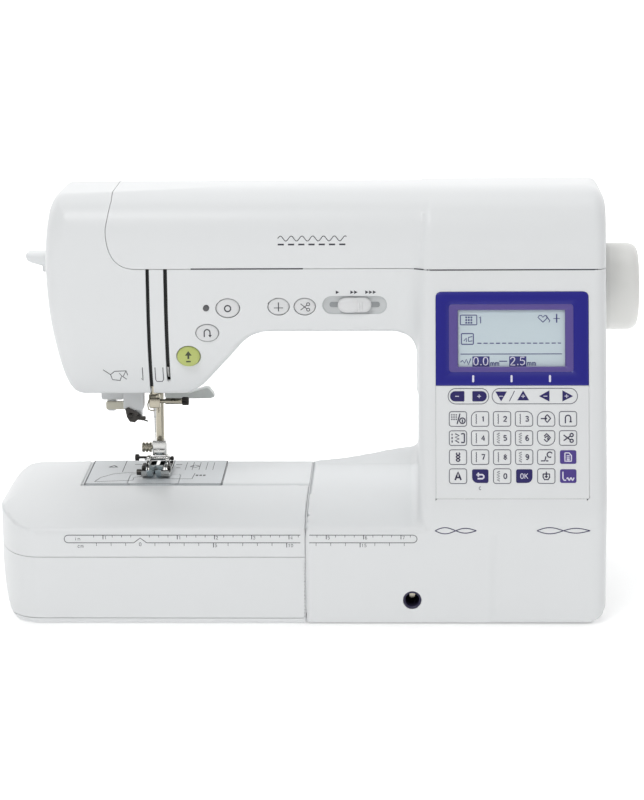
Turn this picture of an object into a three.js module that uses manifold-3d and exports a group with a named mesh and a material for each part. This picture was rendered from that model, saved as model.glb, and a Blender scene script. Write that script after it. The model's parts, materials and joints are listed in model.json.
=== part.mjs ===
// A computerised household sewing machine with a slide-off flat bed, built as a three.js scene.
// Units are millimetres and +Z is up. The front faces -Y and the handwheel is on the +X side.
// The machine's pieces are written in a work frame whose X = 0 is the needle, whose Y = 0 is the
// front face of the bed and whose Z = 0 is the table. One outer group then moves that frame so
// that the exported origin is the centre of the whole outline, on the table.
import * as THREE from "three";
import { mergeVertices } from "three/addons/utils/BufferGeometryUtils.js";
import Module from "manifold-3d";

const wasm = await Module();
wasm.setup();

// ---------------------------------------------------------------- driving dimensions
const BED_LEFT = -104; // left end of the flat bed
const BED_SPLIT = 113; // where the flat bed meets the fixed base
const SIDE_RIGHT = 318; // right wall of the casing
const WHEEL_RIGHT = 344; // outer face of the handwheel
const DEPTH = 200; // front of the bed to the back of the column
const TOP = 290.5;
const BOTTOM = 3; // lower edge of the covers, above the table
const BED_TOP = 78;
const BED_FLAT_FRONT = 76; // where the bed's front curve reaches its flat top
const BED_FACE_TOP = 67; // top of the upright part of the bed's front
const WALL = 2.6;
const GAP = 0.4; // between neighbouring pieces

const HEAD_LEFT = -67.5;
const HEAD_BOTTOM = 147.5;
const ARM_UNDER = 192.5;
const ARM_FRONT = 50;
const ARM_BACK = 176;
const COLUMN_LEFT = 190;
const LID_SEAM = 238.5; // lower edge of the top cover
const LID_BACK = 150;
const SHELL_SPLIT_Y = 140; // front cover meets rear cover
const FACE_SPLIT_X = 4; // centre of the take-up slot, where face cover meets front cover
const SLOT_HALF = 1.1;

const PANEL_LEAN = THREE.MathUtils.degToRad(15);
const PANEL_FOOT_Z = 88; // lower end of the leaning control panel
const PANEL_FOOT_Y = ((PANEL_FOOT_Z - BED_FACE_TOP) / 2) * Math.tan(PANEL_LEAN);
const PANEL_TOP_Y = PANEL_FOOT_Y + (LID_SEAM - PANEL_FOOT_Z) * Math.tan(PANEL_LEAN);

const NEEDLE = { x: 1, y: 112 };
const PRESSER = { x: 3, y: 128 };
const UPPER = { y: NEEDLE.y, z: 214.4 }; // upper shaft
const LOWER = { y: 122, z: 44 }; // lower shaft
const HOOK = { x: 1, y: 97.5 };
const MOTOR = { y: 158, z: 110 };

const FREE_ARM = { left: -49, front: 80.5, back: 151.5, under: 28 };
const PLATE = { left: -47.7, right: 50.5, thick: 1.6 };

// ---------------------------------------------------------------- helpers
const AXES = {
  x: new THREE.Matrix4().makeBasis(
    new THREE.Vector3(0, 1, 0), new THREE.Vector3(0, 0, 1), new THREE.Vector3(1, 0, 0)),
  y: new THREE.Matrix4().makeBasis(
    new THREE.Vector3(1, 0, 0), new THREE.Vector3(0, 0, 1), new THREE.Vector3(0, -1, 0)),
  z: new THREE.Matrix4(),
};

/** A closed three.js geometry as a solid that can be joined and cut. */
function solid(geometry) {
  const bare = geometry.clone();
  bare.deleteAttribute("normal");
  bare.deleteAttribute("uv");
  const merged = mergeVertices(bare, 1e-4);
  return new wasm.Manifold(new wasm.Mesh({
    numProp: 3,
    vertProperties: merged.attributes.position.array,
    triVerts: new Uint32Array(merged.index.array),
  }));
}

/** A solid's surface as a three.js geometry. */
function surface(made) {
  const data = made.getMesh();
  const geometry = new THREE.BufferGeometry();
  geometry.setAttribute("position", new THREE.BufferAttribute(data.vertProperties, 3));
  geometry.setIndex(new THREE.BufferAttribute(data.triVerts, 1));
  geometry.computeVertexNormals();
  return geometry;
}

/** A Shape drawn in (y, z), (x, z) or (x, y), swept along x, y or z from low to high. */
function extrude(axis, shape, low, high, curveSegments = 6) {
  const geometry = new THREE.ExtrudeGeometry(shape, {
    depth: high - low, bevelEnabled: false, curveSegments,
  });
  geometry.translate(0, 0, axis === "y" ? -high : low);
  return solid(geometry.applyMatrix4(AXES[axis]));
}

/** An upright block between two corners. */
function block(x0, x1, y0, y1, z0, z1) {
  const geometry = new THREE.BoxGeometry(x1 - x0, y1 - y0, z1 - z0);
  return solid(geometry.translate((x0 + x1) / 2, (y0 + y1) / 2, (z0 + z1) / 2));
}

/** A round bar along an axis from low to high, centred on (a, b) in the other two axes in X, Y, Z order. */
function rod(axis, a, b, radius, low, high, sides = 20) {
  return turned(axis, a, b, [[0, low], [radius, low], [radius, high], [0, high]], sides);
}

/** A profile of [radius, place along the axis] pairs, turned about that axis. */
function turned(axis, a, b, profile, sides = 24) {
  const geometry = new THREE.LatheGeometry(profile.map(([r, h]) => new THREE.Vector2(r, h)), sides);
  geometry.rotateX(Math.PI / 2); // the lathe's axis becomes z
  if (axis === "x") geometry.applyMatrix4(AXES.x);
  if (axis === "y") geometry.rotateX(-Math.PI / 2).rotateY(Math.PI);
  const place = { x: [0, a, b], y: [a, 0, b], z: [a, b, 0] }[axis];
  const made = solid(geometry.translate(...place));
  return made;
}

/** A rectangle with round corners, as a Shape. */
function roundRect(x0, x1, y0, y1, radius) {
  const shape = new THREE.Shape();
  shape.moveTo(x0 + radius, y0);
  shape.lineTo(x1 - radius, y0);
  shape.absarc(x1 - radius, y0 + radius, radius, -Math.PI / 2, 0, false);
  shape.absarc(x1 - radius, y1 - radius, radius, 0, Math.PI / 2, false);
  shape.absarc(x0 + radius, y1 - radius, radius, Math.PI / 2, Math.PI, false);
  shape.absarc(x0 + radius, y0 + radius, radius, Math.PI, 1.5 * Math.PI, false);
  return shape;
}

/** A closed Shape through straight corners. */
function polygon(points) {
  return new THREE.Shape(points.map(([x, y]) => new THREE.Vector2(x, y)));
}

const all = (list) => list.reduce((a, b) => a.add(b));
const cut = (from, ...tools) => tools.reduce((a, b) => a.subtract(b), from);

function plastic(color, roughness = 0.35) {
  return new THREE.MeshStandardMaterial({ color, roughness, metalness: 0 });
}
function metal(color, roughness = 0.3) {
  return new THREE.MeshStandardMaterial({ color, roughness, metalness: 1 });
}
const MATERIAL = {
  casing: plastic("#e6e8e8"),
  wheel: plastic("#cfd0cf"),
  key: plastic("#e9eaea", 0.5),
  green: plastic("#c8d48c"),
  bezel: plastic("#2c3084", 0.25),
  screen: plastic("#b8c7cd", 0.1),
  clear: new THREE.MeshStandardMaterial({
    color: "#dfe6e8", roughness: 0.1, metalness: 0, transparent: true, opacity: 0.45,
  }),
  grey: plastic("#8d9293"),
  black: plastic("#1b1b1d", 0.5),
  rubber: plastic("#3a3b3d", 0.85),
  board: plastic("#1f5a3a", 0.6),
  steel: metal("#c3c5c6"),
  chrome: metal("#dcdcda", 0.12),
  cast: metal("#9b9ea0", 0.55),
};

const machine = new THREE.Group();
machine.position.set(-(BED_LEFT + WHEEL_RIGHT) / 2, -DEPTH / 2, 0);

/** Adds a named piece to the machine or to a group inside it. */
function piece(name, made, material, parent = machine) {
  const mesh = new THREE.Mesh(surface(made), material);
  mesh.name = name;
  parent.add(mesh);
  return mesh;
}

// ---------------------------------------------------------------- casing outlines, inset by t
/** Side view (y, z) of the arm and head: a convex front that falls back towards the needle. */
function armProfile(t) {
  const s = new THREE.Shape();
  s.moveTo(ARM_BACK - t, HEAD_BOTTOM - 5);
  s.lineTo(ARM_BACK - t, 262);
  s.quadraticCurveTo(ARM_BACK - t, TOP - t, LID_BACK - 4, TOP - t);
  s.lineTo(ARM_FRONT + 38, TOP - t);
  s.quadraticCurveTo(ARM_FRONT + t, TOP - t, ARM_FRONT + t, 254);
  s.lineTo(ARM_FRONT + t, 215);
  s.quadraticCurveTo(ARM_FRONT + t, 178, ARM_FRONT + 16 + t, HEAD_BOTTOM);
  s.lineTo(ARM_FRONT + 18 + t, HEAD_BOTTOM - 5);
  return s;
}

/** Front view (x, z) of the head and arm, with the fillet that runs into the column. */
function armOutline(t) {
  const s = new THREE.Shape();
  s.moveTo(-44 + t, HEAD_BOTTOM + t);
  s.lineTo(26, HEAD_BOTTOM + t);
  s.quadraticCurveTo(34 - t, HEAD_BOTTOM + 1 + t, 42 - t, 156 + t);
  s.lineTo(66 - t, 183 + t);
  s.quadraticCurveTo(74 - t, ARM_UNDER + t, 88, ARM_UNDER + t);
  s.lineTo(COLUMN_LEFT - 20, ARM_UNDER + t);
  s.quadraticCurveTo(COLUMN_LEFT + t, ARM_UNDER + t, COLUMN_LEFT + t, ARM_UNDER - 20);
  s.lineTo(COLUMN_LEFT + t, ARM_UNDER - 40);
  s.lineTo(COLUMN_LEFT + 12, ARM_UNDER - 40);
  s.lineTo(COLUMN_LEFT + 12, TOP - t);
  s.lineTo(50, TOP - t);
  s.lineTo(-51, TOP - 2.5 - t);
  s.quadraticCurveTo(-62 + t, TOP - 3 - t, -65 + t, 272);
  s.quadraticCurveTo(HEAD_LEFT - 1 + t, 244, HEAD_LEFT + t, 228);
  s.quadraticCurveTo(HEAD_LEFT + 2 + t, 180, -54 + t, 156);
  s.quadraticCurveTo(-50 + t, HEAD_BOTTOM + t, -44 + t, HEAD_BOTTOM + t);
  return s;
}

/** Side view (y, z) of the column: the leaning control panel and the upright back. */
function columnProfile(t) {
  const s = new THREE.Shape();
  const low = t ? BOTTOM - 5 : BOTTOM; // the cavity is open at the bottom
  s.moveTo(t, low);
  s.lineTo(DEPTH - t, low);
  s.lineTo(DEPTH - t, 222);
  s.quadraticCurveTo(DEPTH - t, TOP - t, LID_BACK - 4, TOP - t);
  s.lineTo(ARM_FRONT + 38, TOP - t);
  s.quadraticCurveTo(ARM_FRONT - 2 + t, TOP - t, PANEL_TOP_Y + 3 + t, 252);
  s.lineTo(PANEL_TOP_Y + t, LID_SEAM);
  s.lineTo(PANEL_FOOT_Y + t, PANEL_FOOT_Z);
  s.quadraticCurveTo(t, (PANEL_FOOT_Z + BED_FACE_TOP) / 2, t, BED_FACE_TOP);
  return s;
}

/** Front view (x, z) of the column, with round outer corners. */
function columnOutline(t) {
  const low = t ? BOTTOM - 30 : BOTTOM;
  return roundRect(COLUMN_LEFT + t, SIDE_RIGHT - t, low, TOP - t, 11 - t);
}

/** Side view (y, z) of the bed: upright front, rounded crease, long soft curve, flat top. */
function bedProfile(t, open) {
  const s = new THREE.Shape();
  const low = open ? BOTTOM - 5 : BOTTOM + t;
  s.moveTo(t, low);
  s.lineTo(DEPTH, low);
  s.lineTo(DEPTH, BED_TOP - t);
  s.lineTo(BED_FLAT_FRONT, BED_TOP - t);
  s.quadraticCurveTo(BED_FLAT_FRONT / 2 - 8, BED_TOP - t, 2 + t, BED_FACE_TOP + 1 - t);
  s.quadraticCurveTo(t, BED_FACE_TOP - t, t, BED_FACE_TOP - 4);
  return s;
}

/** Top view (x, y) of the fixed base, whose back sweeps out from the free arm to the column. */
function basePlan(t) {
  const s = new THREE.Shape();
  const r = 12;
  s.moveTo(BED_SPLIT + t, t);
  s.lineTo(SIDE_RIGHT - r, t);
  s.quadraticCurveTo(SIDE_RIGHT - t, t, SIDE_RIGHT - t, r);
  s.lineTo(SIDE_RIGHT - t, DEPTH - r);
  s.quadraticCurveTo(SIDE_RIGHT - t, DEPTH - t, SIDE_RIGHT - r, DEPTH - t);
  s.lineTo(COLUMN_LEFT + 14, DEPTH - t);
  s.bezierCurveTo(
    COLUMN_LEFT - 24, DEPTH - t, 152, FREE_ARM.back + 8 - t, BED_SPLIT + t, FREE_ARM.back + 2 - t);
  return s;
}

/** The whole casing without the flat bed and free arm; t > 0 gives its hollow. */
function casing(t) {
  const arm = extrude("x", armProfile(t), HEAD_LEFT - 5, COLUMN_LEFT + 12 - t)
    .intersect(extrude("y", armOutline(t), 0, DEPTH));
  const column = extrude("x", columnProfile(t), COLUMN_LEFT - 10, SIDE_RIGHT + 10)
    .intersect(extrude("y", columnOutline(t), -10, DEPTH + 10))
    .intersect(extrude("z", basePlan(t), -10, TOP + 10));
  const base = extrude("x", bedProfile(t, t > 0), BED_SPLIT - 5, SIDE_RIGHT + 5)
    .intersect(extrude("z", basePlan(t), -10, BED_TOP + 5));
  const lowerCorner = extrude("y", columnOutline(t), -10, DEPTH + 10)
    .add(block(BED_SPLIT - 10, COLUMN_LEFT + 40, -10, DEPTH + 10, BOTTOM - 10, BED_TOP + 5));
  return all([arm, column, base.intersect(lowerCorner)]);
}

/** Front view (x, z) of the top cover's share of the casing, grown by g. */
function lidRegion(g) {
  const s = new THREE.Shape();
  s.moveTo(-4, LID_SEAM - g);
  s.lineTo(SIDE_RIGHT + 10, LID_SEAM - g);
  s.lineTo(SIDE_RIGHT + 10, TOP + 10);
  s.lineTo(-20.5 - g, TOP + 10);
  s.lineTo(-20.5 - g, 284);
  s.quadraticCurveTo(-22 - g, 277, -24 - g, 266);
  s.quadraticCurveTo(-24 - g, LID_SEAM - g, -4, LID_SEAM - g);
  return extrude("y", s, -20, LID_BACK + g);
}

// ---------------------------------------------------------------- covers
const shell = casing(0).subtract(casing(WALL));
const lidHole = lidRegion(GAP);

/** The five push buttons on the front of the arm: centre, half width, half height. */
const BUTTONS = {
  start_stop_button: { x: 59, z: 211, w: 8, h: 6.5, y: 49.4 },
  reverse_button: { x: 44.5, z: 193.5, w: 7.8, h: 6, y: 50.4 },
  needle_position_button: { x: 94, z: 212, w: 7.2, h: 5.7, y: 49.2 },
  thread_cutter_button: { x: 112, z: 212, w: 7.2, h: 5.7, y: 49.2 },
  presser_foot_button: { x: 31, z: 176.5, w: 8, h: 7.2, y: 53 },
};
const BUTTON_BACK = 66;
const ellipse = (x, z, w, h) => new THREE.Shape().absellipse(x, z, w, h, 0, 2 * Math.PI, false, 0);

const SPEED = { x0: 124, x1: 168.5, z: 213, half: 6.4, knob: 11.5, travel: 10 };
const WINDOW = { x0: 201.5, x1: 305.5, v0: 0, split: 77, v1: 141 }; // control panel opening
const SOCKET = { x: 185.4, z: 17.3, r: 6 };
const THREADER = { y0: 127.5, y1: 132.5, z0: 160, z1: 238 };

/** The leaning frame of the control panel: local z runs up the slope and local -y faces out. */
function panelGroup() {
  const group = new THREE.Group();
  group.position.set(0, PANEL_FOOT_Y, PANEL_FOOT_Z);
  group.rotation.x = -PANEL_LEAN;
  machine.add(group);
  group.updateMatrix();
  return group;
}
const panel = panelGroup();

/** A block given in the panel's own frame, as a cutter in the machine's frame. */
function panelCutter(x0, x1, y0, y1, v0, v1) {
  const geometry = new THREE.BoxGeometry(x1 - x0, y1 - y0, v1 - v0);
  geometry.translate((x0 + x1) / 2, (y0 + y1) / 2, (v0 + v1) / 2);
  return solid(geometry.applyMatrix4(panel.matrix));
}

/** Openings under the head, for the needle, presser and threader, and the two thread channels. */
const headOpening = all([
  block(-40, 24, 76, 148, HEAD_BOTTOM - 10, HEAD_BOTTOM + 8),
  block(1, 20, 140, 171, HEAD_BOTTOM - 10, HEAD_BOTTOM + 8),
]);
const thirdSlot = block(15.2, 17.4, 0, 66, 158, LID_SEAM + 5);

function coverPieces() {
  const buttonHoles = all(Object.values(BUTTONS).map((b) =>
    extrude("y", ellipse(b.x, b.z, b.w + 0.5, b.h + 0.5), 30, BUTTON_BACK + 6)));
  const speedSlot = extrude("y",
    roundRect(SPEED.x0, SPEED.x1, SPEED.z - SPEED.half, SPEED.z + SPEED.half, SPEED.half - 0.1), 30, 66, 4);
  const front = cut(
    shell.intersect(block(FACE_SPLIT_X + SLOT_HALF, SIDE_RIGHT + 5, -5, SHELL_SPLIT_Y - GAP / 2, 0, TOP + 5)),
    lidHole, buttonHoles, speedSlot, headOpening, thirdSlot,
    panelCutter(WINDOW.x0, WINDOW.x1, -20, 14, WINDOW.v0, WINDOW.v1),
    rod("y", SOCKET.x, SOCKET.z, SOCKET.r + 0.4, -5, 10),
    rod("x", UPPER.y, UPPER.z, 7, SIDE_RIGHT - 10, SIDE_RIGHT + 10),
    freeArmMouth());
  const rear = cut(
    shell.intersect(block(FACE_SPLIT_X + SLOT_HALF, SIDE_RIGHT + 5, SHELL_SPLIT_Y + GAP / 2, DEPTH + 5, 0, TOP + 5)),
    lidHole, headOpening, freeArmMouth(), sidePortHoles(), rearVents(),
    rod("x", UPPER.y, UPPER.z, 7, SIDE_RIGHT - 10, SIDE_RIGHT + 10));
  const rearWithEars = all([rear, ...handleEars()]);
  const face = cut(
    shell.intersect(block(HEAD_LEFT - 5, FACE_SPLIT_X - SLOT_HALF, 0, DEPTH, 0, TOP + 5)),
    lidHole, headOpening,
    block(HEAD_LEFT - 5, HEAD_LEFT + 20, THREADER.y0, THREADER.y1, THREADER.z0, THREADER.z1));
  const lid = shell.intersect(lidRegion(0));
  piece("front_cover", front, MATERIAL.casing);
  piece("rear_cover", rearWithEars, MATERIAL.casing);
  piece("face_cover", face, MATERIAL.casing);
  piece("top_cover", lid, MATERIAL.casing);
}

/** Where the lower shaft and the tray pass from the free arm into the fixed base. */
function freeArmMouth() {
  const shaftWay = block(BED_SPLIT - 1, BED_SPLIT + WALL + 1, 86, 147, 33, 72);
  const trayWay = block(BED_SPLIT - 1, BED_SPLIT + WALL + 1, 82, 152, 0, 13);
  return shaftWay.add(trayWay);
}

const PORTS = {
  power_inlet: { y0: 158, y1: 182, z0: 22, z1: 42 },
  power_switch: { y0: 160, y1: 180, z0: 56, z1: 70 },
  foot_control_jack: { y0: 144, y1: 152, z0: 26, z1: 38 },
};
function sidePortHoles() {
  return all(Object.values(PORTS).map((p) => block(SIDE_RIGHT - 12, SIDE_RIGHT + 5,
    p.y0 - GAP, p.y1 + GAP, p.z0 - GAP, p.z1 + GAP)));
}

/** Two ears on the back of the arm that hold the carrying handle's pivots. */
const HANDLE = { x0: 40, x1: 160, y: 183, z: 248 };
function handleEars() {
  return [[HANDLE.x0 - 9.4, HANDLE.x0 - 0.4], [HANDLE.x1 + 0.4, HANDLE.x1 + 9.4]].map(([x0, x1]) =>
    block(x0, x1, ARM_BACK - 2, HANDLE.y + 4, HANDLE.z - 8, HANDLE.z + 6));
}

/** Cooling slots in the back of the column. */
function rearVents() {
  return all(Array.from({ length: 6 }, (_, i) =>
    block(222, 292, DEPTH - 8, DEPTH + 5, 92 + i * 9, 95 + i * 9)));
}
coverPieces();

/** The tray closes the casing from below and reaches out under the free arm. */
function baseTray() {
  const inside = extrude("z", basePlan(WALL + GAP), 4, 8);
  const tongue = extrude("z", roundRect(FREE_ARM.left + 2, BED_SPLIT + 30, 84, 150, 8), 4, 12);
  return inside.add(tongue);
}
piece("base_tray", baseTray(), MATERIAL.grey);

const FEET = {
  foot_front_right: [300, 18], foot_rear_right: [300, 180],
  foot_front_left: [-34, 96], foot_rear_left: [-34, 138],
};
for (const [name, [x, y]] of Object.entries(FEET)) {
  piece(name, turned("z", x, y, [[0, 0], [7, 0], [8, 1], [8, 3.7], [0, 3.7]], 16), MATERIAL.rubber);
}

/** Deck under the top cover, which carries the spool pin and the bobbin winder. */
function topDeck() {
  const deck = block(18, 314.6, 54, LID_BACK - 1, LID_SEAM, LID_SEAM + 2.4);
  const winderStop = block(303, 309, 98, 110, LID_SEAM, LID_SEAM + 16);
  return deck.add(winderStop);
}
piece("top_deck", topDeck(), MATERIAL.casing);

/** Free arm: a hollow beam open at the top for the needle plate and at the right into the base. */
function freeArm() {
  const { left, front, back, under } = FREE_ARM;
  const outer = extrude("x", roundRect(front, back, under, BED_TOP, 4), left, BED_SPLIT - GAP);
  return cut(outer,
    block(left + WALL, BED_SPLIT + 10, front + WALL, back - WALL, under + WALL, BED_TOP - WALL),
    block(PLATE.left - GAP, PLATE.right + GAP, front + 1.2, back - 1.2, BED_TOP - PLATE.thick, BED_TOP + 1),
    block(PLATE.left + 3, PLATE.right - 3, front + 5, back - 5, BED_TOP - 10, BED_TOP + 1),
    block(22, 46, back - 5, back + 5, 50, 58)); // slot of the feed dog switch
}
piece("free_arm_cover", freeArm(), MATERIAL.casing);

// ---------------------------------------------------------------- flat bed and its door
const BED_NOTCH = { x: FREE_ARM.left - GAP, y: FREE_ARM.front - GAP };
const DOOR_TOP = 47.6;
const DOOR_BACK = 100;
const DOOR_RIGHT = BED_SPLIT - GAP - 0.6;

/** Top view (x, y) of the flat bed, an L around the free arm. */
function flatBedPlan(t) {
  const s = new THREE.Shape();
  s.moveTo(BED_SPLIT - GAP - t, t);
  s.lineTo(-70, t);
  s.bezierCurveTo(-92 + t, t, BED_LEFT + t, 34, BED_LEFT + t, 82);
  s.bezierCurveTo(BED_LEFT + t, 124, BED_LEFT + 3 + t, 147 - t, -88, 148.5 - t);
  s.lineTo(BED_NOTCH.x - t, FREE_ARM.back - t);
  s.lineTo(BED_NOTCH.x - t, BED_NOTCH.y - t);
  s.lineTo(BED_SPLIT - GAP - t, BED_NOTCH.y - t);
  return s;
}

/** Front view (x, z) of the flat bed, narrower at the foot and soft at its upper left edge. */
function flatBedOutline(t) {
  const s = new THREE.Shape();
  s.moveTo(BED_SPLIT, BOTTOM - 8);
  s.lineTo(-94 + t, BOTTOM - 8);
  s.lineTo(-94 + t, BOTTOM);
  s.quadraticCurveTo(BED_LEFT + 1.5 + t, 34, BED_LEFT - 1.5 + t, 60);
  s.quadraticCurveTo(BED_LEFT - 1.5 + t, BED_TOP - t, BED_LEFT + 18, BED_TOP - t);
  s.lineTo(BED_SPLIT, BED_TOP - t);
  return s;
}

/** The flat bed as a solid, inset by t all round, or all round but for an open bottom. */
function flatBedBody(t, open = false) {
  return extrude("x", bedProfile(t, open), BED_LEFT, BED_SPLIT, 10)
    .intersect(extrude("z", flatBedPlan(t), -5, BED_TOP + 5, 10))
    .intersect(extrude("y", flatBedOutline(t), -5, DEPTH, 10));
}

/** The strip of skin that the accessory door replaces, grown by g. */
function doorZone(g) {
  const zone = polygon([
    [-120, -10], [DOOR_RIGHT + g, -10], [DOOR_RIGHT + g, 2.1 + 3 * g], [DOOR_RIGHT - 2.2, 3 + 2 * g],
    [-60, 20], [-60, DOOR_BACK + g], [-120, DOOR_BACK + g]]);
  return extrude("z", zone, BOTTOM - 1, DOOR_TOP + g);
}

const flatBed = flatBedBody(0);
function doorShape() {
  return flatBed.intersect(doorZone(0)).subtract(flatBedBody(WALL, true));
}
function flatBedShell() {
  const opening = doorZone(GAP).subtract(flatBedBody(WALL + GAP, true));
  return cut(flatBed, flatBedBody(WALL), opening);
}
piece("flat_bed_attachment", flatBedShell(), MATERIAL.casing);
piece("accessory_door", doorShape(), MATERIAL.casing);

// ---------------------------------------------------------------- control panel pieces
/** A rounded slab in the panel frame: across x, up the slope v, and thick in y. */
function slab(x0, x1, y0, y1, v0, v1, radius) {
  return extrude("y", roundRect(x0, x1, v0, v1, radius), y0, y1, 3);
}
function displayBezel() {
  const outer = slab(WINDOW.x0 + GAP, WINDOW.x1 - GAP, -0.6, 2.2, WINDOW.split + 0.2, WINDOW.v1 - GAP, 3);
  return outer.subtract(slab(216.8, 289.4, -5, 5, 90, 128.4, 1));
}
const KEYS = {
  columns: [216.6, 231.6, 246.5, 261.4, 276.3, 291.1],
  rows: [54.3, 41.3, 28.4, 15.5],
  halfWidth: 6, halfHeight: 5, proud: 0.9,
};
function keypad() {
  const mat = slab(WINDOW.x0 + GAP, WINDOW.x1 - GAP, 0, 2.2, WINDOW.v0 + GAP, WINDOW.split - 0.2, 1);
  const keys = KEYS.rows.flatMap((v) => KEYS.columns.map((x) => slab(
    x - KEYS.halfWidth, x + KEYS.halfWidth, -KEYS.proud, 1, v - KEYS.halfHeight, v + KEYS.halfHeight, 4)));
  const capsules = [[210, 237.5], [239.8, 297.6]].map(([x0, x1]) =>
    slab(x0, x1, -KEYS.proud, 1, 64.5, 75, 5));
  return all([mat, ...keys, ...capsules]);
}
piece("display_bezel", displayBezel(), MATERIAL.bezel, panel);
piece("lcd_module", slab(212, 294, 2.6, 7, 86, 132, 1), MATERIAL.screen, panel);
piece("keypad", keypad(), MATERIAL.key, panel);
piece("control_board", slab(204, 303, 9.5, 11.1, 4, 136, 2), MATERIAL.board, panel);

// ---------------------------------------------------------------- buttons and slider
function button(b) {
  const cap = extrude("y", ellipse(b.x, b.z, b.w, b.h), b.y, BUTTON_BACK, 8);
  const plunger = block(b.x - 4, b.x + 4, BUTTON_BACK, BUTTON_BACK + 7, b.z - 3, b.z + 3);
  return cap.add(plunger);
}
for (const [name, b] of Object.entries(BUTTONS)) {
  piece(name, button(b), name === "presser_foot_button" ? MATERIAL.green : MATERIAL.key);
}

const speedX = (SPEED.x0 + SPEED.x1) / 2;
function speedKnob() {
  const head = extrude("y", ellipse(speedX, SPEED.z, SPEED.knob, SPEED.half - 0.5), 47.5, 55, 6);
  return head.add(block(speedX - 3, speedX + 3, 54, 70, SPEED.z - 2, SPEED.z + 2));
}
piece("speed_slider_knob", speedKnob(), MATERIAL.key);
piece("status_lamp", rod("y", 44, 211, 2.1, 49.2, 49.9, 16), MATERIAL.grey);

// ---------------------------------------------------------------- drive train
const SHAFT_RADIUS = 5;
const BEARING_GAP = 0.3;
const TIMING = { x0: 222, x1: 232, r: 16 };
const DRIVE = { x0: 236, x1: 246, r: 20, motorRadius: 8 };

/** The loop of a belt round two pulleys, as a closed (y, z) ring. */
function belt(a, ra, b, rb, x0, x1) {
  const thick = 1.6;
  const ring = (extra) => {
    const direction = Math.atan2(b.z - a.z, b.y - a.y);
    const wrap = Math.acos((ra - rb) / Math.hypot(b.y - a.y, b.z - a.z));
    const s = new THREE.Shape();
    s.absarc(a.y, a.z, ra + extra, direction + wrap, direction - wrap + 2 * Math.PI, false);
    s.absarc(b.y, b.z, rb + extra, direction - wrap, direction + wrap, false);
    return s;
  };
  return extrude("x", ring(0.3 + thick), x0, x1, 10).subtract(extrude("x", ring(0.3), x0 - 1, x1 + 1, 10));
}

const crankX = NEEDLE.x + 8;
function upperShaft() {
  return all([
    rod("x", UPPER.y, UPPER.z, SHAFT_RADIUS, crankX, SIDE_RIGHT + 1, 16),
    rod("x", UPPER.y, UPPER.z, 16, crankX, crankX + 5, 24), // crank disc
    rod("x", UPPER.y, UPPER.z + 12, 2, crankX - 3, crankX + 1, 12), // crank pin, at its top
    rod("x", UPPER.y, UPPER.z, TIMING.r, TIMING.x0 + 1, TIMING.x1 - 1, 24),
    rod("x", UPPER.y, UPPER.z, DRIVE.r, DRIVE.x0, DRIVE.x1, 28),
  ]);
}
function handwheel() {
  return turned("x", UPPER.y, UPPER.z, [
    [0, 319.4], [24, 319.4], [29, 320.5], [30.6, 324], [30.6, 337], [29, 341.5], [25, WHEEL_RIGHT],
    [21, WHEEL_RIGHT], [19.5, WHEEL_RIGHT - 3], [0, WHEEL_RIGHT - 3.6]], 40);
}
piece("upper_shaft", upperShaft(), MATERIAL.steel);
piece("handwheel", handwheel(), MATERIAL.wheel);
piece("timing_belt", belt(UPPER, TIMING.r, LOWER, TIMING.r, TIMING.x0 + 1.5, TIMING.x1 - 1.5), MATERIAL.black);
piece("drive_belt", belt(UPPER, DRIVE.r, MOTOR, DRIVE.motorRadius, DRIVE.x0 + 1.5, DRIVE.x1 - 1.5),
  MATERIAL.black);
piece("motor", turned("x", MOTOR.y, MOTOR.z, [
  [0, 250], [9, 250], [9, 252], [22, 252], [22, 300], [9, 300], [9, 303], [0, 303]], 24)
  .subtract(rod("x", MOTOR.y, MOTOR.z, 3.3, 245, 262, 16)), MATERIAL.steel);
piece("motor_shaft", all([
  rod("x", MOTOR.y, MOTOR.z, 3, 234, 261.5, 16),
  rod("x", MOTOR.y, MOTOR.z, DRIVE.motorRadius, DRIVE.x0 + 0.5, DRIVE.x1 - 0.5, 20)]), MATERIAL.steel);

const GEAR = { lower: 13, hook: 11 };
piece("lower_shaft", all([
  rod("x", LOWER.y, LOWER.z, SHAFT_RADIUS, -8, 236, 16),
  rod("x", LOWER.y, LOWER.z, GEAR.lower, HOOK.x - 4, HOOK.x + 4, 30),
  rod("x", LOWER.y, LOWER.z, TIMING.r, TIMING.x0 + 1, TIMING.x1 - 1, 24)]), MATERIAL.steel);
function rotaryHook() {
  const cup = turned("z", HOOK.x, HOOK.y, [
    [0, 34], [3, 34], [3, 39], [GEAR.hook, 39], [GEAR.hook, 49], [4, 49], [4, 55], [13.7, 55], [13.7, 69],
    [12.9, 69], [12.9, 57], [0, 57]], 28);
  const notch = block(HOOK.x + 3, HOOK.x + 12, HOOK.y + 3, HOOK.y + 16, 64, 70);
  return cup.subtract(notch);
}
piece("rotary_hook", rotaryHook(), MATERIAL.chrome);
piece("bobbin_case", turned("z", HOOK.x, HOOK.y, [
  [0, 57.5], [12.5, 57.5], [12.5, 72], [11, 72], [11, 59], [2.4, 59], [2.4, 68], [0, 68]], 24), MATERIAL.black);
piece("bobbin", turned("z", HOOK.x, HOOK.y, [
  [2.8, 59.4], [10.3, 59.4], [10.3, 60.6], [4.2, 60.6], [4.2, 69.8], [10.3, 69.8], [10.3, 71], [2.8, 71],
  [2.8, 59.4]], 24), MATERIAL.clear);

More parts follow.
